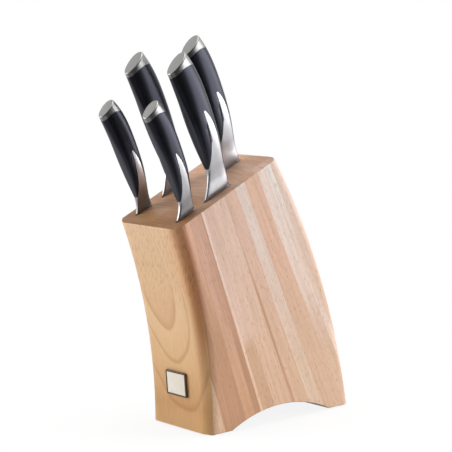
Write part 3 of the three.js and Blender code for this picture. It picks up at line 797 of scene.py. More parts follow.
class Nodes:
    """The nodes of a material or a world. Each method adds a node and gives back its output."""

    def __init__(self, tree):
        """Adds to the tree as it stands."""
        self.tree = tree

    def put(self, node, socket, value):
        """Links the value to the node's socket, or sets it there. A colour may leave out its opacity."""
        target = node.inputs[socket]
        if isinstance(value, bpy.types.NodeSocket):
            self.tree.links.new(value, target)
        elif target.type == "RGBA":
            target.default_value = (*value[:3], 1.0)
        else:
            target.default_value = value

    def add(self, kind, output=0, properties=None, **inputs):
        """A node of that kind, with its properties. Inputs go by name or, as i0, i1 and so on, by place."""
        node = self.tree.nodes.new(kind)
        for key, value in (properties or {}).items():
            setattr(node, key, value)
        for key, value in inputs.items():
            place = int(key[1:]) if key[0] == "i" and key[1:].isdigit() else key
            self.put(node, place, value)
        return node.outputs[output]

    def math(self, operation, first, second=0.0, third=0.0, clamp=False):
        """Arithmetic on numbers."""
        return self.add("ShaderNodeMath", 0, {"operation": operation, "use_clamp": clamp},
                        i0=first, i1=second, i2=third)

    def vector(self, operation, first, second=(0.0, 0.0, 0.0), output="Vector"):
        """Arithmetic on vectors."""
        return self.add("ShaderNodeVectorMath", output, {"operation": operation}, i0=first, i1=second)

    def split(self, vector):
        """The three coordinates of a vector."""
        node = self.tree.nodes.new("ShaderNodeSeparateXYZ")
        self.put(node, 0, vector)
        return node.outputs[0], node.outputs[1], node.outputs[2]

    def join(self, x, y, z):
        """The vector of three coordinates."""
        return self.add("ShaderNodeCombineXYZ", 0, None, i0=x, i1=y, i2=z)

    def reach(self, value, low, high, first=0.0, last=1.0, smooth=False):
        """The value carried from low..high to first..last and held there, evenly or in a smooth S."""
        kind = "SMOOTHSTEP" if smooth else "LINEAR"
        return self.add("ShaderNodeMapRange", 0, {"clamp": True, "interpolation_type": kind},
                        i0=value, i1=low, i2=high, i3=first, i4=last)


class Finish(Nodes):
    """A node material in the making. Lengths in its patterns are in millimetres."""

    def __init__(self, name, colour=(0.5, 0.5, 0.5), roughness=0.5, metallic=0.0, **sockets):
        """A material with its shader's constants set. A socket's name has _ in place of each space."""
        self.material = bpy.data.materials.new(name)
        self.material.use_nodes = True
        super().__init__(self.material.node_tree)
        self.shader = self.tree.nodes["Principled BSDF"]
        self.use(Base_Color=colour, Roughness=roughness, Metallic=metallic, **sockets)

    def use(self, **sockets):
        """Sends values to the shader's sockets, and gives back the material."""
        for socket, value in sockets.items():
            self.put(self.shader, socket.replace("_", " "), value)
        return self.material

    def place(self, turn=(0.0, 0.0, 0.0), origin=(0.0, 0.0, 0.0)):
        """Object coordinates in millimetres from an origin in metres, turned about it."""
        turned = Euler(turn).to_matrix() @ Vector(origin)
        object_place = self.add("ShaderNodeTexCoord", "Object")
        return self.add("ShaderNodeMapping", 0, None, Vector=object_place, Location=(-turned) * 1000,
                        Rotation=turn, Scale=(1000.0, 1000.0, 1000.0))

    def noise(self, place, scale, detail, roughness, distortion=0.0):
        """Soft noise, from 0 to 1, of coordinates that are first multiplied by three scales."""
        return self.add("ShaderNodeTexNoise", 0, None, Vector=self.vector("MULTIPLY", place, scale),
                        Scale=1.0, Detail=detail, Roughness=roughness, Distortion=distortion)

    def even_noise(self, scale, detail, roughness):
        """Soft noise of the same scale every way."""
        return self.noise(self.place(), (scale, scale, scale), detail, roughness)

    def ramp(self, value, stops, kind="LINEAR"):
        """Colour ramp. Each stop is a place and a grey or a colour."""
        node = self.tree.nodes.new("ShaderNodeValToRGB")
        node.color_ramp.interpolation = kind
        elements = node.color_ramp.elements
        while len(elements) < len(stops):
            elements.new(1.0)
        for element, (place, tone) in zip(elements, stops):
            element.position = place
            element.color = (*tone, 1.0) if isinstance(tone, tuple) else (tone, tone, tone, 1.0)
        self.put(node, 0, value)
        return node.outputs[0]

    def blend(self, part, first, second, kind="MIX"):
        """The first colour turned into the second by that part."""
        return self.add("ShaderNodeMix", 2, {"data_type": "RGBA", "blend_type": kind, "clamp_factor": True},
                        i0=part, i6=first, i7=second)

    def tint(self, colour, by, part=1.0):
        """The colour multiplied by another, by that part."""
        return self.blend(part, colour, by, "MULTIPLY")

    def bump(self, height, strength, distance):
        """A normal that is tilted by the slopes of the height."""
        return self.add("ShaderNodeBump", 0, None, Strength=strength, Distance=distance, Height=height)


# ---------------------------------------------------------------- wood

STRIPS_FROM = -30.0  # millimetres across the strips, from the foot of the front
STRIPS_TO = 175.0
STRIP_TOP = 190.0  # height along the strips at which their places are counted
STRIP_SLOPE = 0.089  # slope of a strip at the front against the lean, and its change per millimetre across
STRIP_FAN = -0.00105
TURN_SPAN = 300.0  # millimetres that a share of one stands for in the ramps of heights
JOINT_LENGTH = 1.0  # a strip that turns within less than this, in millimetres, has a joint there
KEY_STEP = 0.37  # steps of the grey that tells one strip's grain from another's, and above a joint
JOINT_KEY = 0.29
# Strips of the right side: where each starts at the top, its tone there and at the foot, and the height and
# the half length over which the one turns into the other. Nearly all are lighter at the top: that is partly
# painted light and shade, and partly the wood's own tones.
SLOW = (80, 70)
RIGHT_STRIPS = (
    (-30, (206, 170, 138), (206, 170, 138), SLOW),
    (16, (214, 178, 150), (212, 176, 146), SLOW),
    (31, (228, 178, 147), (191, 144, 109), (130, 50)),
    (52, (212, 165, 140), (203, 156, 120), SLOW),
    (62, (210, 162, 136), (188, 141, 107), (100, 50)),
    (65.4, (204, 154, 132), (188, 140, 108), SLOW),
    (67, (238, 212, 196), (228, 194, 164), SLOW),
    (69.6, (226, 191, 172), (207, 166, 133), (57, 7)),
    (81, (230, 196, 176), (217, 179, 149), SLOW),
    (97.4, (222, 183, 160), (200, 154, 120), (125, 30)),
    (99.8, (224, 186, 164), (215, 177, 147), SLOW),
    (112, (230, 208, 196), (219, 189, 164), SLOW),
    (124, (225, 182, 156), (213, 176, 147), (70, 40)),
    (141.5, (238, 217, 206), (212, 177, 150), (60, 60)),
    (153, (238, 226, 217), (229, 203, 186), (150, 30)),
    (159.5, (227, 199, 183), (218, 180, 150), SLOW),
)
# Tones of the strips that are drawn by lot, as on a screen, and their widths in millimetres.
STRIP_TONES = ((222, 184, 158), (210, 165, 135), (226, 196, 176), (214, 172, 140), (218, 178, 150),
               (228, 204, 184))
STRIP_WIDTHS = (11, 27)
DRAWN_JOINTS = (0, 180)  # heights between which their joints lie, and half the length of a joint
DRAWN_JOINT_HALF = 0.6


def block_origin():
    """Foot of the front, on the underside, in the middle of the block."""
    return (0.0, BlockShape().front_foot, UNDERSIDE)


def drawn_strips(seed):
    """Strips of a board that isn't the right side: widths, tones and joints drawn by lot."""
    draw = random.Random(seed)
    strips = []
    start = STRIPS_FROM
    while start < STRIPS_TO:
        upper, lower = draw.choice(STRIP_TONES), draw.choice(STRIP_TONES)
        strips.append((start, upper, lower, (draw.uniform(*DRAWN_JOINTS), DRAWN_JOINT_HALF)))
        start += draw.uniform(*STRIP_WIDTHS)
    return strips


def strip_place(finish):
    """Coordinates in millimetres with the strips: X as it is, Y across them, and Z along them. The strips
    lean as the knives do, and fan out a little towards the back."""
    lean = settings("knife_shape").lean
    x, across, along = finish.split(finish.place((-lean, 0, 0), block_origin()))
    slope = finish.math("MULTIPLY_ADD", across, STRIP_FAN, STRIP_SLOPE)
    below_top = finish.math("SUBTRACT", along, STRIP_TOP)
    straight = finish.math("SUBTRACT", across, finish.math("MULTIPLY", slope, below_top))
    return x, straight, along


def strip_colours(finish, across, along, strips):
    """The strips' tones: one ramp for the upper tones, one for the lower, and one each for where the one
    turns into the other and over what length. Gives the colour, and a grey that is different for each
    strip."""
    share = finish.reach(across, STRIPS_FROM, STRIPS_TO)
    places = [(strip[0] - STRIPS_FROM) / (STRIPS_TO - STRIPS_FROM) for strip in strips]

    def steps(values):
        """Ramp that holds each strip's value from its start to the next."""
        return finish.ramp(share, list(zip(places, values)), "CONSTANT")

    upper = steps([shown(*strip[1]) for strip in strips])
    lower = steps([shown(*strip[2]) for strip in strips])
    middle = steps([strip[3][0] / TURN_SPAN for strip in strips])
    half = steps([strip[3][1] / TURN_SPAN for strip in strips])
    keys = steps([(number * KEY_STEP) % 1.0 for number in range(len(strips))])
    height = finish.math("SUBTRACT", finish.math("DIVIDE", along, TURN_SPAN), middle)
    above = finish.math("MULTIPLY_ADD", finish.math("DIVIDE", height, half), 0.5, 0.5, clamp=True)
    joint = finish.math("MULTIPLY", finish.math("GREATER_THAN", height, 0.0),
                        finish.math("LESS_THAN", half, JOINT_LENGTH / TURN_SPAN))
    return finish.blend(above, lower, upper), finish.math("MULTIPLY_ADD", joint, JOINT_KEY, keys)


SIDE_SHIFT = 460.0  # millimetres that a key of one moves the grain of the side, and of the ends
END_SHIFT = 310.0
SIDE_PORE = shown(158, 104, 74)
SIDE_PORE_SHARE = 0.42
END_PORE = shown(96, 62, 42)
END_PORE_SHARE = 0.35
END_SHARE = 0.78  # how far the ends' own colour covers the strips' tones
RING_BEND = 0.003  # bend of the year rings, per millimetre squared of X
TOP_DEPTH = 122.0  # millimetres from the top's front edge to its back edge
UNDERSIDE_TINT = (0.4, 0.37, 0.35)  # shade under the block, painted into its wood


def board_finish(name, strips):
    """Satin side of a board: leaning strips in several tones. Streaks and short dark pores run along them,
    and are different in each strip."""
    finish = Finish(name, roughness=0.5)
    x, across, along = strip_place(finish)
    colour, key = strip_colours(finish, across, along, strips)
    moved = finish.math("ADD", across, finish.math("MULTIPLY", key, SIDE_SHIFT))
    place = finish.join(x, moved, along)
    streaks = finish.noise(place, (0.4, 0.75, 0.018), 4.0, 0.6, 0.25)
    figure = finish.noise(place, (0.1, 0.16, 0.009), 2.0, 0.5, 0.8)
    pores = finish.reach(finish.noise(place, (1.3, 1.3, 0.15), 1.0, 0.5), 0.58, 0.72)
    light = finish.ramp(streaks, [(0.25, (0.88, 0.83, 0.79)), (0.5, 1.0), (0.75, (1.06, 1.07, 1.08))])
    colour = finish.tint(colour, light)
    colour = finish.tint(colour, finish.ramp(figure, [(0.3, (0.93, 0.89, 0.85)), (0.6, 1.04)]), 0.8)
    colour = finish.blend(finish.math("MULTIPLY", pores, SIDE_PORE_SHARE), colour, SIDE_PORE)
    # painted shade round the front right corner
    colour = corner_shade(finish, colour)
    height = finish.math("SUBTRACT", streaks, finish.math("MULTIPLY", pores, 0.8))
    return finish.use(Base_Color=colour, Roughness=finish.reach(streaks, 0.2, 0.8, 0.42, 0.56),
                      Normal=finish.bump(height, 0.25, 0.3 * MM))


def end_finish(name, strips):
    """Sawn and sanded ends of the boards: darker, with a faint band for each strip across the block, curved
    year rings and a speckle of open pores. Two tints are painted in: the top is darker and warmer at its
    front edge and a little lighter at its back, and painted shade darkens the underside."""
    finish = Finish(name, roughness=0.55)
    x, across, along = strip_place(finish)
    tones, key = strip_colours(finish, across, along, strips)
    colour = finish.blend(END_SHARE, tones, settings("finishes").end_grain)
    bend = finish.math("MULTIPLY", finish.math("POWER", finish.math("ABSOLUTE", x), 2.0), RING_BEND)
    moved = finish.math("ADD", finish.math("ADD", across, bend), finish.math("MULTIPLY", key, END_SHIFT))
    rings = finish.noise(finish.join(x, moved, 0.0), (0.03, 0.5, 1.0), 3.0, 0.6, 0.6)
    colour = finish.tint(colour, finish.ramp(rings, [(0.3, (0.78, 0.74, 0.70)), (0.55, 1.0), (0.75, 1.16)]))
    speckle = finish.even_noise(1.5, 2.0, 0.6)
    colour = finish.blend(finish.reach(speckle, 0.55, 0.75, 0.0, END_PORE_SHARE), colour, END_PORE)
    _, z, behind = behind_front(finish)
    # the top darker and warmer at its front edge, a little lighter at its back
    depth = finish.reach(behind, 0.0, TOP_DEPTH)
    colour = finish.tint(colour, finish.ramp(depth, [(0.1, (0.71, 0.565, 0.325)), (0.55, 1.0), (1.0, 1.1)]))
    colour = finish.tint(colour, UNDERSIDE_TINT, finish.reach(z, 40.0, 30.0))
    height = finish.math("SUBTRACT", rings, speckle)
    return finish.use(Base_Color=colour, Normal=finish.bump(height, 0.2, 0.2 * MM))


def behind_front(finish):
    """X and Z in millimetres, and how far a place lies behind the front. The front's arc is taken as the
    parabola through its foot and its top: Y plus the overhang times the square of the height's share."""
    sizes = settings("block_sizes")
    x, y, z = finish.split(finish.place(origin=block_origin()))
    overhang = (BACK_FOOT - sizes.foot_depth - TOP_FRONT) / MM
    bend = overhang / (sizes.front_height / MM) ** 2
    return x, z, finish.math("MULTIPLY_ADD", finish.math("MULTIPLY", z, z), bend, y)


# Tint of the painted shade round the front right corner.
CORNER_SHADE_TINT = (0.73, 0.49, 0.29)
CORNER_WIDENING = 0.03  # how fast the dark band on the side widens with height


def corner_shade(finish, colour):
    """Painted shade: a dark band, warmer than the wood, round the front right corner and round no other. It
    starts near the facing's right edge, and ends on the side along a line that lies further behind the front
    the higher it is. It fades away towards the foot."""
    x, z, behind = behind_front(finish)
    narrowed = finish.math("MULTIPLY_ADD", z, -CORNER_WIDENING, behind)
    near = finish.math("MULTIPLY", finish.reach(x, 28.0, 38.0), finish.reach(narrowed, 5.5, 1.5))
    amount = finish.math("MULTIPLY", near, finish.reach(z, 40.0, 100.0))
    amount = finish.math("MULTIPLY", amount, finish.reach(z, 140.0, 185.0, 1.0, 0.8))
    return finish.tint(colour, CORNER_SHADE_TINT, amount)


ARCH_HEIGHT = 150.0  # millimetres above the underside: middle of the facing's pointed arches
ARCH_SIDE = 13.4  # their middle line: its X at the underside, and its slope
ARCH_SLOPE = -0.187
ARCH_SHAPE = 0.43  # width of the arches against their height
ARCH_WANDER = 14.0  # how far their lines wander
ARCH_SPAN = 200.0  # millimetres down from their middle that the tones below span
ARCH_LINE = (0.80, 0.70, 0.60)
ARCH_TONES = ((0.0, (0.95, 0.92, 0.90)), (0.24, (0.93, 0.88, 0.83)), (0.285, ARCH_LINE),
              (0.30, (1.02, 1.04, 1.05)), (0.41, (0.98, 0.98, 0.97)), (0.43, ARCH_LINE),
              (0.445, (1.0, 1.0, 0.98)), (0.63, (0.94, 0.90, 0.85)), (0.655, ARCH_LINE),
              (0.67, (0.98, 0.97, 0.95)), (0.85, (0.92, 0.88, 0.84)), (1.0, (0.96, 0.94, 0.92)))
# Tones painted on the facing by height, over this many millimetres above the underside. It is darker and
# warmer low down and lighter at the top: that is partly painted shade and light, and partly the wood's own
# tone.
FACING_TOP = 190.0
FACING_HEIGHTS = ((0.0, (0.83, 0.74, 0.56)), (0.11, (0.75, 0.615, 0.405)), (0.34, (0.93, 0.87, 0.77)),
                  (0.6, 1.0), (0.8, (1.0, 1.0, 1.02)), (1.0, (1.09, 1.11, 1.22)))
FACING_DASH = shown(190, 138, 94)
DASH_SLANT = -0.25
# Tint of the painted shade on the facing's rounded left edge.
LEFT_EDGE_SHADE_TINT = (0.665, 0.60, 0.48)
# Tint of the painted shade on the upper right of the facing, which leads into the corner's band.
RIGHT_SHADE_TINT = (1.0, 0.92, 0.86)


def facing_arches(finish, x, z):
    """Nested arches open at the top: long ellipses round a point high on the board, down to which the lines
    run straight. The distance is the root of the squares of X, widened, and of Z, plus some wandering."""
    wander = finish.noise(finish.join(x, 3.0, z), (0.03, 1.0, 0.012), 1.0, 0.5)
    swing = finish.math("MULTIPLY", finish.math("SUBTRACT", wander, 0.5), ARCH_WANDER)
    middle = finish.math("MULTIPLY_ADD", z, ARCH_SLOPE, ARCH_SIDE)
    sideways = finish.math("DIVIDE", finish.math("SUBTRACT", x, middle), ARCH_SHAPE)
    below = finish.math("MINIMUM", finish.math("SUBTRACT", z, ARCH_HEIGHT), 0.0)
    square = finish.math("ADD", finish.math("POWER", sideways, 2.0), finish.math("POWER", below, 2.0))
    distance = finish.math("ADD", finish.math("SQRT", square), swing)
    return finish.ramp(finish.reach(distance, 0.0, ARCH_SPAN), ARCH_TONES)


def facing_finish(name):
    """Golden flat-sawn board: nested arches that fade out above, upright streaks, slanted dashes above the
    arches, a tone that changes with height, partly painted shade and light, and painted shade on the left
    edge and towards the right corner."""
    finish = Finish(name, roughness=0.42)
    x, _, z = finish.split(finish.place(origin=block_origin()))
    colour = finish.tint(settings("finishes").facing_wood, facing_arches(finish, x, z),
                         finish.reach(z, 136.0, 118.0, 0.2, 1.0))
    streaks = finish.noise(finish.join(x, 7.0, z), (0.9, 1.0, 0.03), 4.0, 0.6, 0.3)
    light = finish.ramp(streaks, [(0.3, (0.90, 0.86, 0.82)), (0.55, 1.0), (0.75, (1.05, 1.06, 1.07))])
    colour = finish.tint(colour, light, 0.8)
    slanted = finish.math("MULTIPLY_ADD", z, DASH_SLANT, x)
    dashes = finish.noise(finish.join(slanted, 5.0, z), (0.7, 1.0, 0.14), 1.0, 0.5)
    amount = finish.math("MULTIPLY", finish.reach(dashes, 0.52, 0.68),
                         finish.reach(z, 105.0, 140.0, 0.14, 0.6))
    colour = finish.blend(amount, colour, FACING_DASH)
    # partly painted shade low down and painted light at the top, over the wood's own tone
    colour = finish.tint(colour, finish.ramp(finish.reach(z, 0.0, FACING_TOP), FACING_HEIGHTS))
    # painted shade on the left edge, weaker near the top
    left_edge_shade = finish.math("MULTIPLY", finish.reach(x, -33.0, -37.0),
                            finish.reach(z, 185.0, 150.0, 0.4, 1.0))
    colour = finish.tint(colour, LEFT_EDGE_SHADE_TINT, left_edge_shade)
    # painted shade on the upper right of the facing
    right = finish.math("MULTIPLY", finish.reach(x, 18.0, 28.0), finish.reach(z, 100.0, 130.0))
    colour = finish.tint(colour, RIGHT_SHADE_TINT, right)
    # painted shade round the front right corner
    colour = corner_shade(finish, colour)
    return finish.use(Base_Color=colour, Roughness=finish.reach(streaks, 0.2, 0.8, 0.36, 0.5),
                      Normal=finish.bump(streaks, 0.15, 0.3 * MM))


# ---------------------------------------------------------------- steel, plastic, enamel, rubber

# Tones painted on the forgings: millimetres above the block's top, and the share of the steel's colour
# there. They stand in for reflections of a fuller studio: the bolster's foot is dull, the flame bright. The
# paring knife has tones of its own, with the brightest flame.
STEEL_REFLECTIONS = ((-60, 1.05), (-8, 0.85), (0, 0.74), (8, 0.82), (15, 1.08), (28, 1.38), (42, 1.42), (60, 1.3),
               (80, 1.12))
PARING_REFLECTIONS = ((-60, 1.05), (-8, 0.8), (0, 0.66), (10, 0.7), (20, 1.05), (32, 2.1), (45, 2.5), (60, 2.5),
                (80, 2.5))
BRUSH_DEPTH = 0.95  # share of the steel's colour in the bottom of a brush line
STEEL_ROUGHNESS = 0.34
CAP_ROUGHNESS = 0.38


def reflections_by_height(finish, colour, tones):
    """The colour with painted reflections: tones by height above the plane of the block's top."""
    shape = BlockShape()
    slope = math.atan2(shape.along[1], shape.along[0])
    _, _, above = finish.split(finish.place((-slope, 0, 0), (0.0, *shape.top_front.tolist())))
    low, high = tones[0][0], tones[-1][0]
    stops = [((height - low) / (high - low), tinted(colour, share)) for height, share in tones]
    return finish.ramp(finish.reach(above, low, high), stops)


def steel_finish(name, colour, roughness, tones=()):
    """Steel with fine brush lines along the knife, a soft cloud in its roughness, and, where tones are given,
    painted reflections by height.
    """
    finish = Finish(name, colour, roughness, 1.0)
    along = finish.place((-settings("knife_shape").lean, 0, 0))
    lines = finish.noise(along, (0.5, 0.5, 0.008), 1.0, 0.5)
    cloud = finish.noise(along, (0.06, 0.06, 0.03), 2.0, 0.5)
    tone = reflections_by_height(finish, colour, tones) if tones else colour
    tone = finish.tint(tone, finish.ramp(lines, [(0.3, BRUSH_DEPTH), (0.7, 1.0)]))
    rough = finish.math("ADD", finish.reach(lines, 0.3, 0.7, roughness - 0.01, roughness + 0.01),
                        finish.reach(cloud, 0.3, 0.7, -0.02, 0.02))
    return finish.use(Base_Color=tone, Roughness=rough, Normal=finish.bump(lines, 0.01, 0.05 * MM))


def grip_finish(name, colour):
    """Moulded satin plastic: near black, with the fine even grain of the mould and soft handling marks."""
    finish = Finish(name, colour, 0.3, Specular_IOR_Level=0.4, Specular_Tint=(0.72, 0.74, 1.0))
    grain = finish.even_noise(4.0, 2.0, 0.55)
    marks = finish.even_noise(0.06, 3.0, 0.6)
    tone = finish.ramp(marks, [(0.3, tinted(colour, 0.85)), (0.7, tinted(colour, 1.2))])
    rough = finish.math("ADD", finish.reach(grain, 0.3, 0.7, 0.27, 0.33),
                        finish.reach(marks, 0.3, 0.7, -0.02, 0.03))
    return finish.use(Base_Color=tone, Roughness=rough, Normal=finish.bump(grain, 0.08, 0.05 * MM))


def grained_finish(finish, colour, scale, detail, tones, roughness, bump, depth):
    """The finish with one grain, between 0 and 1, in all that it shows. tones are two stops of it, each with
    a share of the colour. roughness is at a grain of 0.3 and of 0.7. bump is the strength of the relief, and
    depth its height in metres."""
    grain = finish.noise(finish.place(), scale, detail, 0.6)
    stops = [(place, tinted(colour, share)) for place, share in tones]
    return finish.use(Base_Color=finish.ramp(grain, stops),
                      Roughness=finish.reach(grain, 0.3, 0.7, *roughness),
                      Normal=finish.bump(grain, bump, depth))


def cap_face_finish(name, colour):
    """The cap's end face: steel ground in one direction across the knife."""
    return grained_finish(Finish(name, colour, 0.42, 1.0), colour, (0.25, 4.0, 4.0), 3.0,
                          ((0.3, 0.85), (0.7, 1.0)), (0.38, 0.48), 0.12, 0.1 * MM)


def badge_rim_finish(colour):
    """Dark brown lacquered metal with a slightly worn tone."""
    return grained_finish(Finish("badge rim", colour, 0.4, Specular_IOR_Level=0.35), colour,
                          (0.8, 0.8, 0.8), 4.0, ((0.35, 1.0), (0.7, 1.8)), (0.3, 0.45), 0.1, 0.1 * MM)


def badge_face_finish(colour):
    """Cream enamel with a faint mottle."""
    return grained_finish(Finish("badge face", colour, 0.4), colour, (0.35, 0.35, 0.35), 3.0,
                          ((0.3, 0.93), (0.7, 1.0)), (0.36, 0.44), 0.05, 0.1 * MM)


def pad_finish(colour):
    """Black rubber with a fine moulded grain and a little dust."""
    return grained_finish(Finish("pad rubber", colour, 0.8), colour, (3.0, 3.0, 3.0), 3.0,
                          ((0.4, 1.0), (0.75, 2.2)), (0.7, 0.9), 0.2, 0.1 * MM)


# ---------------------------------------------------------------- badge, pads

BADGE_WIDTH = 28 * MM
BADGE_HEIGHT = 23 * MM
BADGE_THICKNESS = 2.2 * MM
BADGE_CORNER = 1.0 * MM
BADGE_RIM = 1.4 * MM
BADGE_RECESS = 0.8 * MM
BADGE_MIDDLE = 42 * MM  # height of its middle above the underside
BADGE_GAP = 0.15 * MM  # from the plate's back to the chord of the front, and round the face in its pocket
FACE_LIFT = 0.1 * MM  # from the pocket's floor to the face
FACE_DEPTH = 0.3 * MM  # from the rim's top down to the face
SHARPEST_CORNER = 0.15 * MM
# Profile of a pad, turned about its axis: shares of its radius and of its height. It has a shallow hollow
# below and a rounded lower edge.
PAD_PROFILE = ((0.45, 0.18), (0.75, 0.12), (0.84, 0.0), (0.93, 0.03), (0.985, 0.16), (1.0, 0.4), (0.97, 1.0))
PAD_COLUMNS = 64


def rounded_loop(width, height, radius, steps=6):
    """Rounded rectangle round the origin, as an array of (x, z)."""
    loop = []
    for quarter, (x, z) in enumerate(((1, 1), (-1, 1), (-1, -1), (1, -1))):
        turn = (quarter + np.linspace(0, 1, steps + 1)) * math.pi / 2
        centre = np.array([x * (width / 2 - radius), z * (height / 2 - radius)])
        loop.append(centre + radius * np.stack([np.cos(turn), np.sin(turn)], -1))
    return np.concatenate(loop)


def badge_matrix():
    """The badge's frame: its plate's back on the chord of the front's curve, Y pointing into the block."""
    shape = BlockShape()
    middle = UNDERSIDE + BADGE_MIDDLE
    top_y, low_y = (float(shape.front(middle + side * BADGE_HEIGHT / 2)) for side in (1, -1))
    tilt = math.atan2(low_y - top_y, BADGE_HEIGHT)
    back = Matrix.Translation((0, (top_y + low_y) / 2 - BADGE_GAP, middle))
    return np.array(back @ Matrix.Rotation(tilt, 4, "X"))


def badge_skin(profile):
    """Rounded rectangles carried along a profile of (inset, depth), both in metres: depth is towards the
    front."""
    rings = []
    for inset, depth in profile:
        loop = rounded_loop(BADGE_WIDTH - 2 * inset, BADGE_HEIGHT - 2 * inset,
                            max(BADGE_CORNER - inset, SHARPEST_CORNER))
        rings.append(np.stack([loop[:, 0], np.full(len(loop), -depth), loop[:, 1]], -1))
    vertices, faces = tube(np.array(rings))
    matrix = badge_matrix()
    return vertices @ matrix[:3, :3].T + matrix[:3, 3], faces


def badge_plate_skin():
    """The badge's plate: eased edges, a raised rim, and the pocket's wall and floor inside it."""
    thick, rim = BADGE_THICKNESS, BADGE_RIM
    return badge_skin([
        (0.2 * MM, 0.0), (0.0, 0.2 * MM), (0.0, thick - 0.35 * MM), (0.1 * MM, thick - 0.1 * MM),
        (0.35 * MM, thick), (rim - 0.25 * MM, thick), (rim - 0.06 * MM, thick - 0.08 * MM),
        (rim, thick - 0.3 * MM), (rim, thick - BADGE_RECESS),
    ])


def badge_face_skin():
    """The badge's face in the pocket of the plate, with an eased front edge."""
    low = BADGE_THICKNESS - BADGE_RECESS + FACE_LIFT
    high = BADGE_THICKNESS - FACE_DEPTH
    gap = BADGE_RIM + BADGE_GAP
    return badge_skin([(gap, low), (gap, high - 0.15 * MM), (gap + 0.05 * MM, high - 0.04 * MM),
                       (gap + 0.2 * MM, high)])


def pad_skin(low, high):
    """Round pad that fills the box between two corners."""
    centre = (low + high) / 2
    reach, height = np.array(PAD_PROFILE).T[:, :, None]
    reach = reach * (high.x - low.x) / 2
    height = low.z + height * (high.z - low.z)
    turn = np.linspace(0, 2 * math.pi, PAD_COLUMNS, endpoint=False)
    rings = [centre.x + reach * np.cos(turn), centre.y + reach * np.sin(turn), height]
    return tube(np.stack(np.broadcast_arrays(*rings), -1))


# ---------------------------------------------------------------- stage

FLOOR_HALF = 0.36  # half the floor's side, in metres
FLOOR_COLOUR = (0.9, 0.9, 0.9)
FLOOR_GLOW = 0.88  # share of the floor's look that is plain white beside the object
FLOOR_NEAR = 0.1  # metres from the middle, up to where that share holds, and from where all is plain white
FLOOR_CLEAR = 0.3
# The world's ranges: from, to, and the strength at each. Three go by how far a direction points to the
# camera, from -1 to 1: the light of the camera's side, the light from behind the object, and what gloss sees.
# The last goes by how far a direction points up. They suit the stage's camera alone: from any other view the
# light stays where it is.
WORLD_SIDES = (-0.05, 0.5, 1.0, 0.02)
WORLD_BEHIND = (-0.7, -0.1, 0.05, 1.0)
WORLD_GLOSS = (-0.25, 0.4, 1.0, 0.03)
WORLD_ABOVE = (0.25, 0.8, 1.0, 0.8)
# Soft boxes: name, way round from the front and height in degrees, distance and side in metres, and power in
# watts.
LAMPS = (
    ("left box", -42, 14, 1.6, 1.1, 18.0),
    ("right box", 138, 16, 1.6, 1.1, 18.1),
    ("top box", 42, 88, 1.6, 1.1, 19.8),
)
LAMP_TARGET = Vector((0, 0, 0.15))
SENSOR_WIDTH = 36.0  # millimetres
CAMERA_REACH = 50.0  # metres


def seen_plainly(nodes):
    """1 for what the camera, a gloss or a clear body sees and 0 for what lights the object, and then 1 for
    the camera alone."""
    path = nodes.tree.nodes.new("ShaderNodeLightPath").outputs
    total = nodes.math("MAXIMUM", path["Is Camera Ray"], path["Is Glossy Ray"])
    return nodes.math("MAXIMUM", total, path["Is Transmission Ray"]), path["Is Camera Ray"]


def make_floor():
    """A pale floor that is nearly white to the camera and keeps a trace of the object's shadow."""
    half = FLOOR_HALF
    mesh = bpy.data.meshes.new("floor")
    corners = [(-half, -half, 0), (half, -half, 0), (half, half, 0), (-half, half, 0)]
    mesh.from_pydata(corners, [], [(0, 1, 2, 3)])
    floor = bpy.data.objects.new("floor", mesh)
    bpy.context.scene.collection.objects.link(floor)
    finish = Finish("floor", FLOOR_COLOUR, 0.9)
    seen, _ = seen_plainly(finish)
    distance = finish.vector("LENGTH", finish.add("ShaderNodeTexCoord", "Object"), output="Value")
    glow_share = finish.reach(distance, FLOOR_NEAR, FLOOR_CLEAR, FLOOR_GLOW, 1.0)
    glow = finish.add("ShaderNodeEmission", 0, None, Strength=1.0)
    blend = finish.add("ShaderNodeMixShader", 0, None, i0=finish.math("MULTIPLY", seen, glow_share),
                       i1=finish.shader.outputs[0], i2=glow)
    finish.put(finish.tree.nodes["Material Output"], "Surface", blend)
    mesh.materials.append(finish.material)


def make_world():
    """White to the camera. Gloss sees a white that fades out towards the camera. The object is lit from
    beside it: only a little light comes from the camera's side and from behind the object. From above it is
    a fifth weaker."""
    world = bpy.data.worlds.new("studio")
    bpy.context.scene.world = world
    world.use_nodes = True
    nodes = Nodes(world.node_tree)
    background = world.node_tree.nodes["Background"]
    nodes.put(background, "Color", (1.0, 1.0, 1.0))
    stage = settings("stage")
    place = nodes.add("ShaderNodeTexCoord", "Generated")
    to_camera = nodes.vector("DOT_PRODUCT", place, direction(stage.azimuth, stage.elevation), "Value")
    _, _, up = nodes.split(place)
    light = nodes.math("MULTIPLY", nodes.reach(to_camera, *WORLD_SIDES, smooth=True),
                       nodes.reach(up, *WORLD_ABOVE, smooth=True))
    light = nodes.math("MULTIPLY", light, nodes.reach(to_camera, *WORLD_BEHIND, smooth=True))
    seen, camera = seen_plainly(nodes)
    backdrop = nodes.math("MAXIMUM", camera, nodes.reach(to_camera, *WORLD_GLOSS, smooth=True))
    strength = nodes.add("ShaderNodeMix", 0, None, i0=seen, i2=light, i3=backdrop)
    nodes.put(background, "Strength", strength)


def direction(azimuth, elevation):
    """The direction at angles round from the front and up from the level."""
    level = math.cos(elevation)
    return Vector((math.sin(azimuth) * level, -math.cos(azimuth) * level, math.sin(elevation)))


def stand(name, data, target, back, distance):
    """A lamp or a camera that stands off the target by a distance, and looks back at it."""
    holder = bpy.data.objects.new(name, data)
    holder.location = target + back * distance
    holder.rotation_euler = back.to_track_quat("Z", "Y").to_euler()
    bpy.context.scene.collection.objects.link(holder)
    return holder


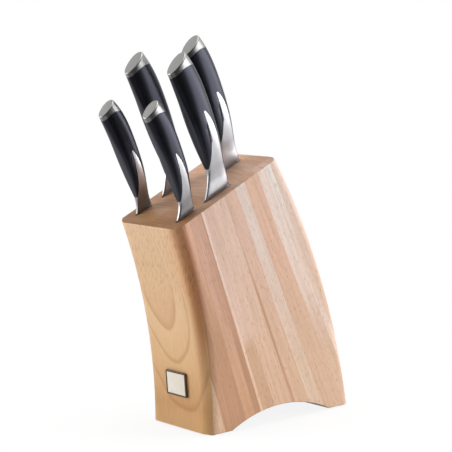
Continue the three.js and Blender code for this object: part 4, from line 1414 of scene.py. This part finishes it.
def make_lamps():
    """Square soft boxes round the object, each turned to the middle of the block."""
    for name, azimuth, elevation, distance, side, power in LAMPS:
        lamp = bpy.data.lights.new(name, "AREA")
        lamp.shape = "SQUARE"
        lamp.size = side
        lamp.energy = power
        stand(name, lamp, LAMP_TARGET, direction(math.radians(azimuth), math.radians(elevation)), distance)


def make_camera():
    """The camera, turned to a point inside the block that it frames right of and below the middle."""
    stage = settings("stage")
    camera = bpy.data.cameras.new("camera")
    camera.lens = stage.focal
    camera.sensor_width = SENSOR_WIDTH
    camera.shift_x = stage.shift_x
    camera.shift_y = stage.shift_y
    camera.clip_end = CAMERA_REACH
    target = Vector((0, BlockShape().front_foot + stage.target_back, UNDERSIDE + stage.target_up))
    back = direction(stage.azimuth, stage.elevation)
    bpy.context.scene.camera = stand("camera", camera, target, back, stage.distance)


# ---------------------------------------------------------------- operators

OUTER_LEFT_SEED = 5  # seeds of the strips that are drawn by lot
INNER_LEFT_SEED = 11
INNER_RIGHT_SEED = 12
FACING_SEED = 3
LIES_ON_TOP = 0.8  # a face lies on the top, or on a cap's end, where its normal agrees with it by this
LIES_ON_CAP = 0.985
LIES_BELOW = -0.5  # and on the underside where its normal points down by this


def wood_faces(shape):
    """Chooses the second finish for faces on the top and the underside."""
    top = np.array([0.0, shape.normal[0], shape.normal[1]])
    return lambda normals: (normals @ top > LIES_ON_TOP) | (normals[:, 2] < LIES_BELOW)


class KNIFEBLOCK_OT_boards(bpy.types.Operator):
    """Make the four boards of the block"""

    bl_idname = "knife_block.boards"
    bl_label = "Boards"

    def execute(self, context):
        shape = BlockShape()
        for name, skin, strips in (
                ("outer_board_left", outer_board(shape, -1), drawn_strips(OUTER_LEFT_SEED)),
                ("inner_board_left", inner_board(shape, -1), drawn_strips(INNER_LEFT_SEED)),
                ("outer_board_right", outer_board(shape, 1), RIGHT_STRIPS),
                ("inner_board_right", inner_board(shape, 1), drawn_strips(INNER_RIGHT_SEED))):
            finishes = [board_finish(name + " side", strips), end_finish(name + " end", strips)]
            make_piece(name, "block", skin, finishes, choose=wood_faces(shape), weighted=True)
        return {"FINISHED"}


class KNIFEBLOCK_OT_facing(bpy.types.Operator):
    """Make the curved front facing"""

    bl_idname = "knife_block.facing"
    bl_label = "Front facing"

    def execute(self, context):
        shape = BlockShape()
        finishes = [facing_finish("facing wood"), end_finish("facing end", drawn_strips(FACING_SEED))]
        make_piece("front_facing", "block", facing(shape), finishes, choose=wood_faces(shape),
                   weighted=True)
        return {"FINISHED"}


class KNIFEBLOCK_OT_pads(bpy.types.Operator):
    """Make the four rubber pads"""

    bl_idname = "knife_block.pads"
    bl_label = "Pads"

    def execute(self, context):
        rubber = pad_finish(tuple(settings("finishes").pad))
        for name in [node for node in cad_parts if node.startswith("pad_")]:
            make_piece(name, "block", pad_skin(*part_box(name)), [rubber])
        return {"FINISHED"}


class KNIFEBLOCK_OT_badge(bpy.types.Operator):
    """Make the blank badge"""

    bl_idname = "knife_block.badge"
    bl_label = "Badge"

    def execute(self, context):
        colours = settings("finishes")
        rim = badge_rim_finish(tuple(colours.badge_rim))
        enamel = badge_face_finish(tuple(colours.badge_face))
        make_piece("badge_plate", "block", badge_plate_skin(), [rim])
        make_piece("badge_face", "block", badge_face_skin(), [enamel])
        return {"FINISHED"}


class KNIFEBLOCK_OT_blades(bpy.types.Operator):
    """Make the knives' forgings: bolsters with their side flames, and blades"""

    bl_idname = "knife_block.blades"
    bl_label = "Bolsters and blades"

    def execute(self, context):
        colour = tuple(settings("finishes").steel)
        forged = steel_finish("forged steel", colour, STEEL_ROUGHNESS, STEEL_REFLECTIONS)
        paring = steel_finish("paring steel", colour, STEEL_ROUGHNESS, PARING_REFLECTIONS)
        for name in KNIVES:
            form = KnifeForm(name)
            steel = paring if name == "paring" else forged
            body = name + "_knife"
            node = name + "_blade"
            make_piece(name + "_bolster", body, bolster_skin(form), [steel], node=node,
                       solidify=form.shape.shell)
            make_piece(node, body, blade_skin(form, serrated=name == "bread"), [steel])
        return {"FINISHED"}


class KNIFEBLOCK_OT_grips(bpy.types.Operator):
    """Make the knives' moulded grips"""

    bl_idname = "knife_block.grips"
    bl_label = "Grips"

    def execute(self, context):
        plastic = grip_finish("grip plastic", tuple(settings("finishes").grip))
        for name in KNIVES:
            make_piece(name + "_grip", name + "_knife", grip_skin(KnifeForm(name)), [plastic])
        return {"FINISHED"}


class KNIFEBLOCK_OT_caps(bpy.types.Operator):
    """Make the knives' end caps"""

    bl_idname = "knife_block.caps"
    bl_label = "End caps"

    def execute(self, context):
        colour = tuple(settings("finishes").cap_steel)
        side = steel_finish("cap side", colour, CAP_ROUGHNESS)
        end = cap_face_finish("cap end", tuple(settings("finishes").cap_end))
        shape = settings("knife_shape")
        facing_up = np.array(Matrix.Rotation(shape.lean + shape.cap_face_tilt, 3, "X") @ Vector((0, 0, 1)))
        for name in KNIVES:
            make_piece(name + "_cap", name + "_knife", cap_skin(KnifeForm(name)), [side, end],
                       choose=lambda normals: normals @ facing_up > LIES_ON_CAP)
        return {"FINISHED"}


class KNIFEBLOCK_OT_stage(bpy.types.Operator):
    """Set up the floor, the lamps, the world and the camera"""

    bl_idname = "knife_block.stage"
    bl_label = "Stage"

    def execute(self, context):
        make_floor()
        make_world()
        make_lamps()
        make_camera()
        context.scene.view_settings.view_transform = "Standard"
        return {"FINISHED"}


# ---------------------------------------------------------------- panel and running


class KNIFEBLOCK_PT_panel(bpy.types.Panel):
    """Panel in the sidebar with the block's operators and settings"""

    bl_label = "Knife Block"
    bl_idname = "KNIFEBLOCK_PT_panel"
    bl_space_type = "VIEW_3D"
    bl_region_type = "UI"
    bl_category = "Knife Block"

    def draw(self, context):
        for operator in OPERATORS:
            self.layout.operator(operator.bl_idname)
        for name in GROUPS:
            group = getattr(context.scene, name)
            for key in group.bl_rna.properties.keys():
                if key not in ("rna_type", "name"):
                    self.layout.prop(group, key)


GROUPS = {"block_sizes": BlockSizes, "knife_shape": KnifeShape, "finishes": Finishes, "stage": StageSettings}
OPERATORS = (KNIFEBLOCK_OT_stage, KNIFEBLOCK_OT_boards, KNIFEBLOCK_OT_facing, KNIFEBLOCK_OT_pads,
             KNIFEBLOCK_OT_badge, KNIFEBLOCK_OT_blades, KNIFEBLOCK_OT_grips, KNIFEBLOCK_OT_caps)
CLASSES = (*GROUPS.values(), *OPERATORS, KNIFEBLOCK_PT_panel)


def register():
    """Registers the classes, and gives the scene its groups of settings."""
    for cls in CLASSES:
        bpy.utils.register_class(cls)
    for name, group in GROUPS.items():
        setattr(bpy.types.Scene, name, PointerProperty(type=group))


def unregister():
    """Takes back what register did."""
    for name in GROUPS:
        delattr(bpy.types.Scene, name)
    for cls in reversed(CLASSES):
        bpy.utils.unregister_class(cls)


def main():
    """Makes the whole scene."""
    register()
    for operator in OPERATORS:
        group, call = operator.bl_idname.split(".")
        getattr(getattr(bpy.ops, group), call)()


if __name__ == "__main__":
    main()
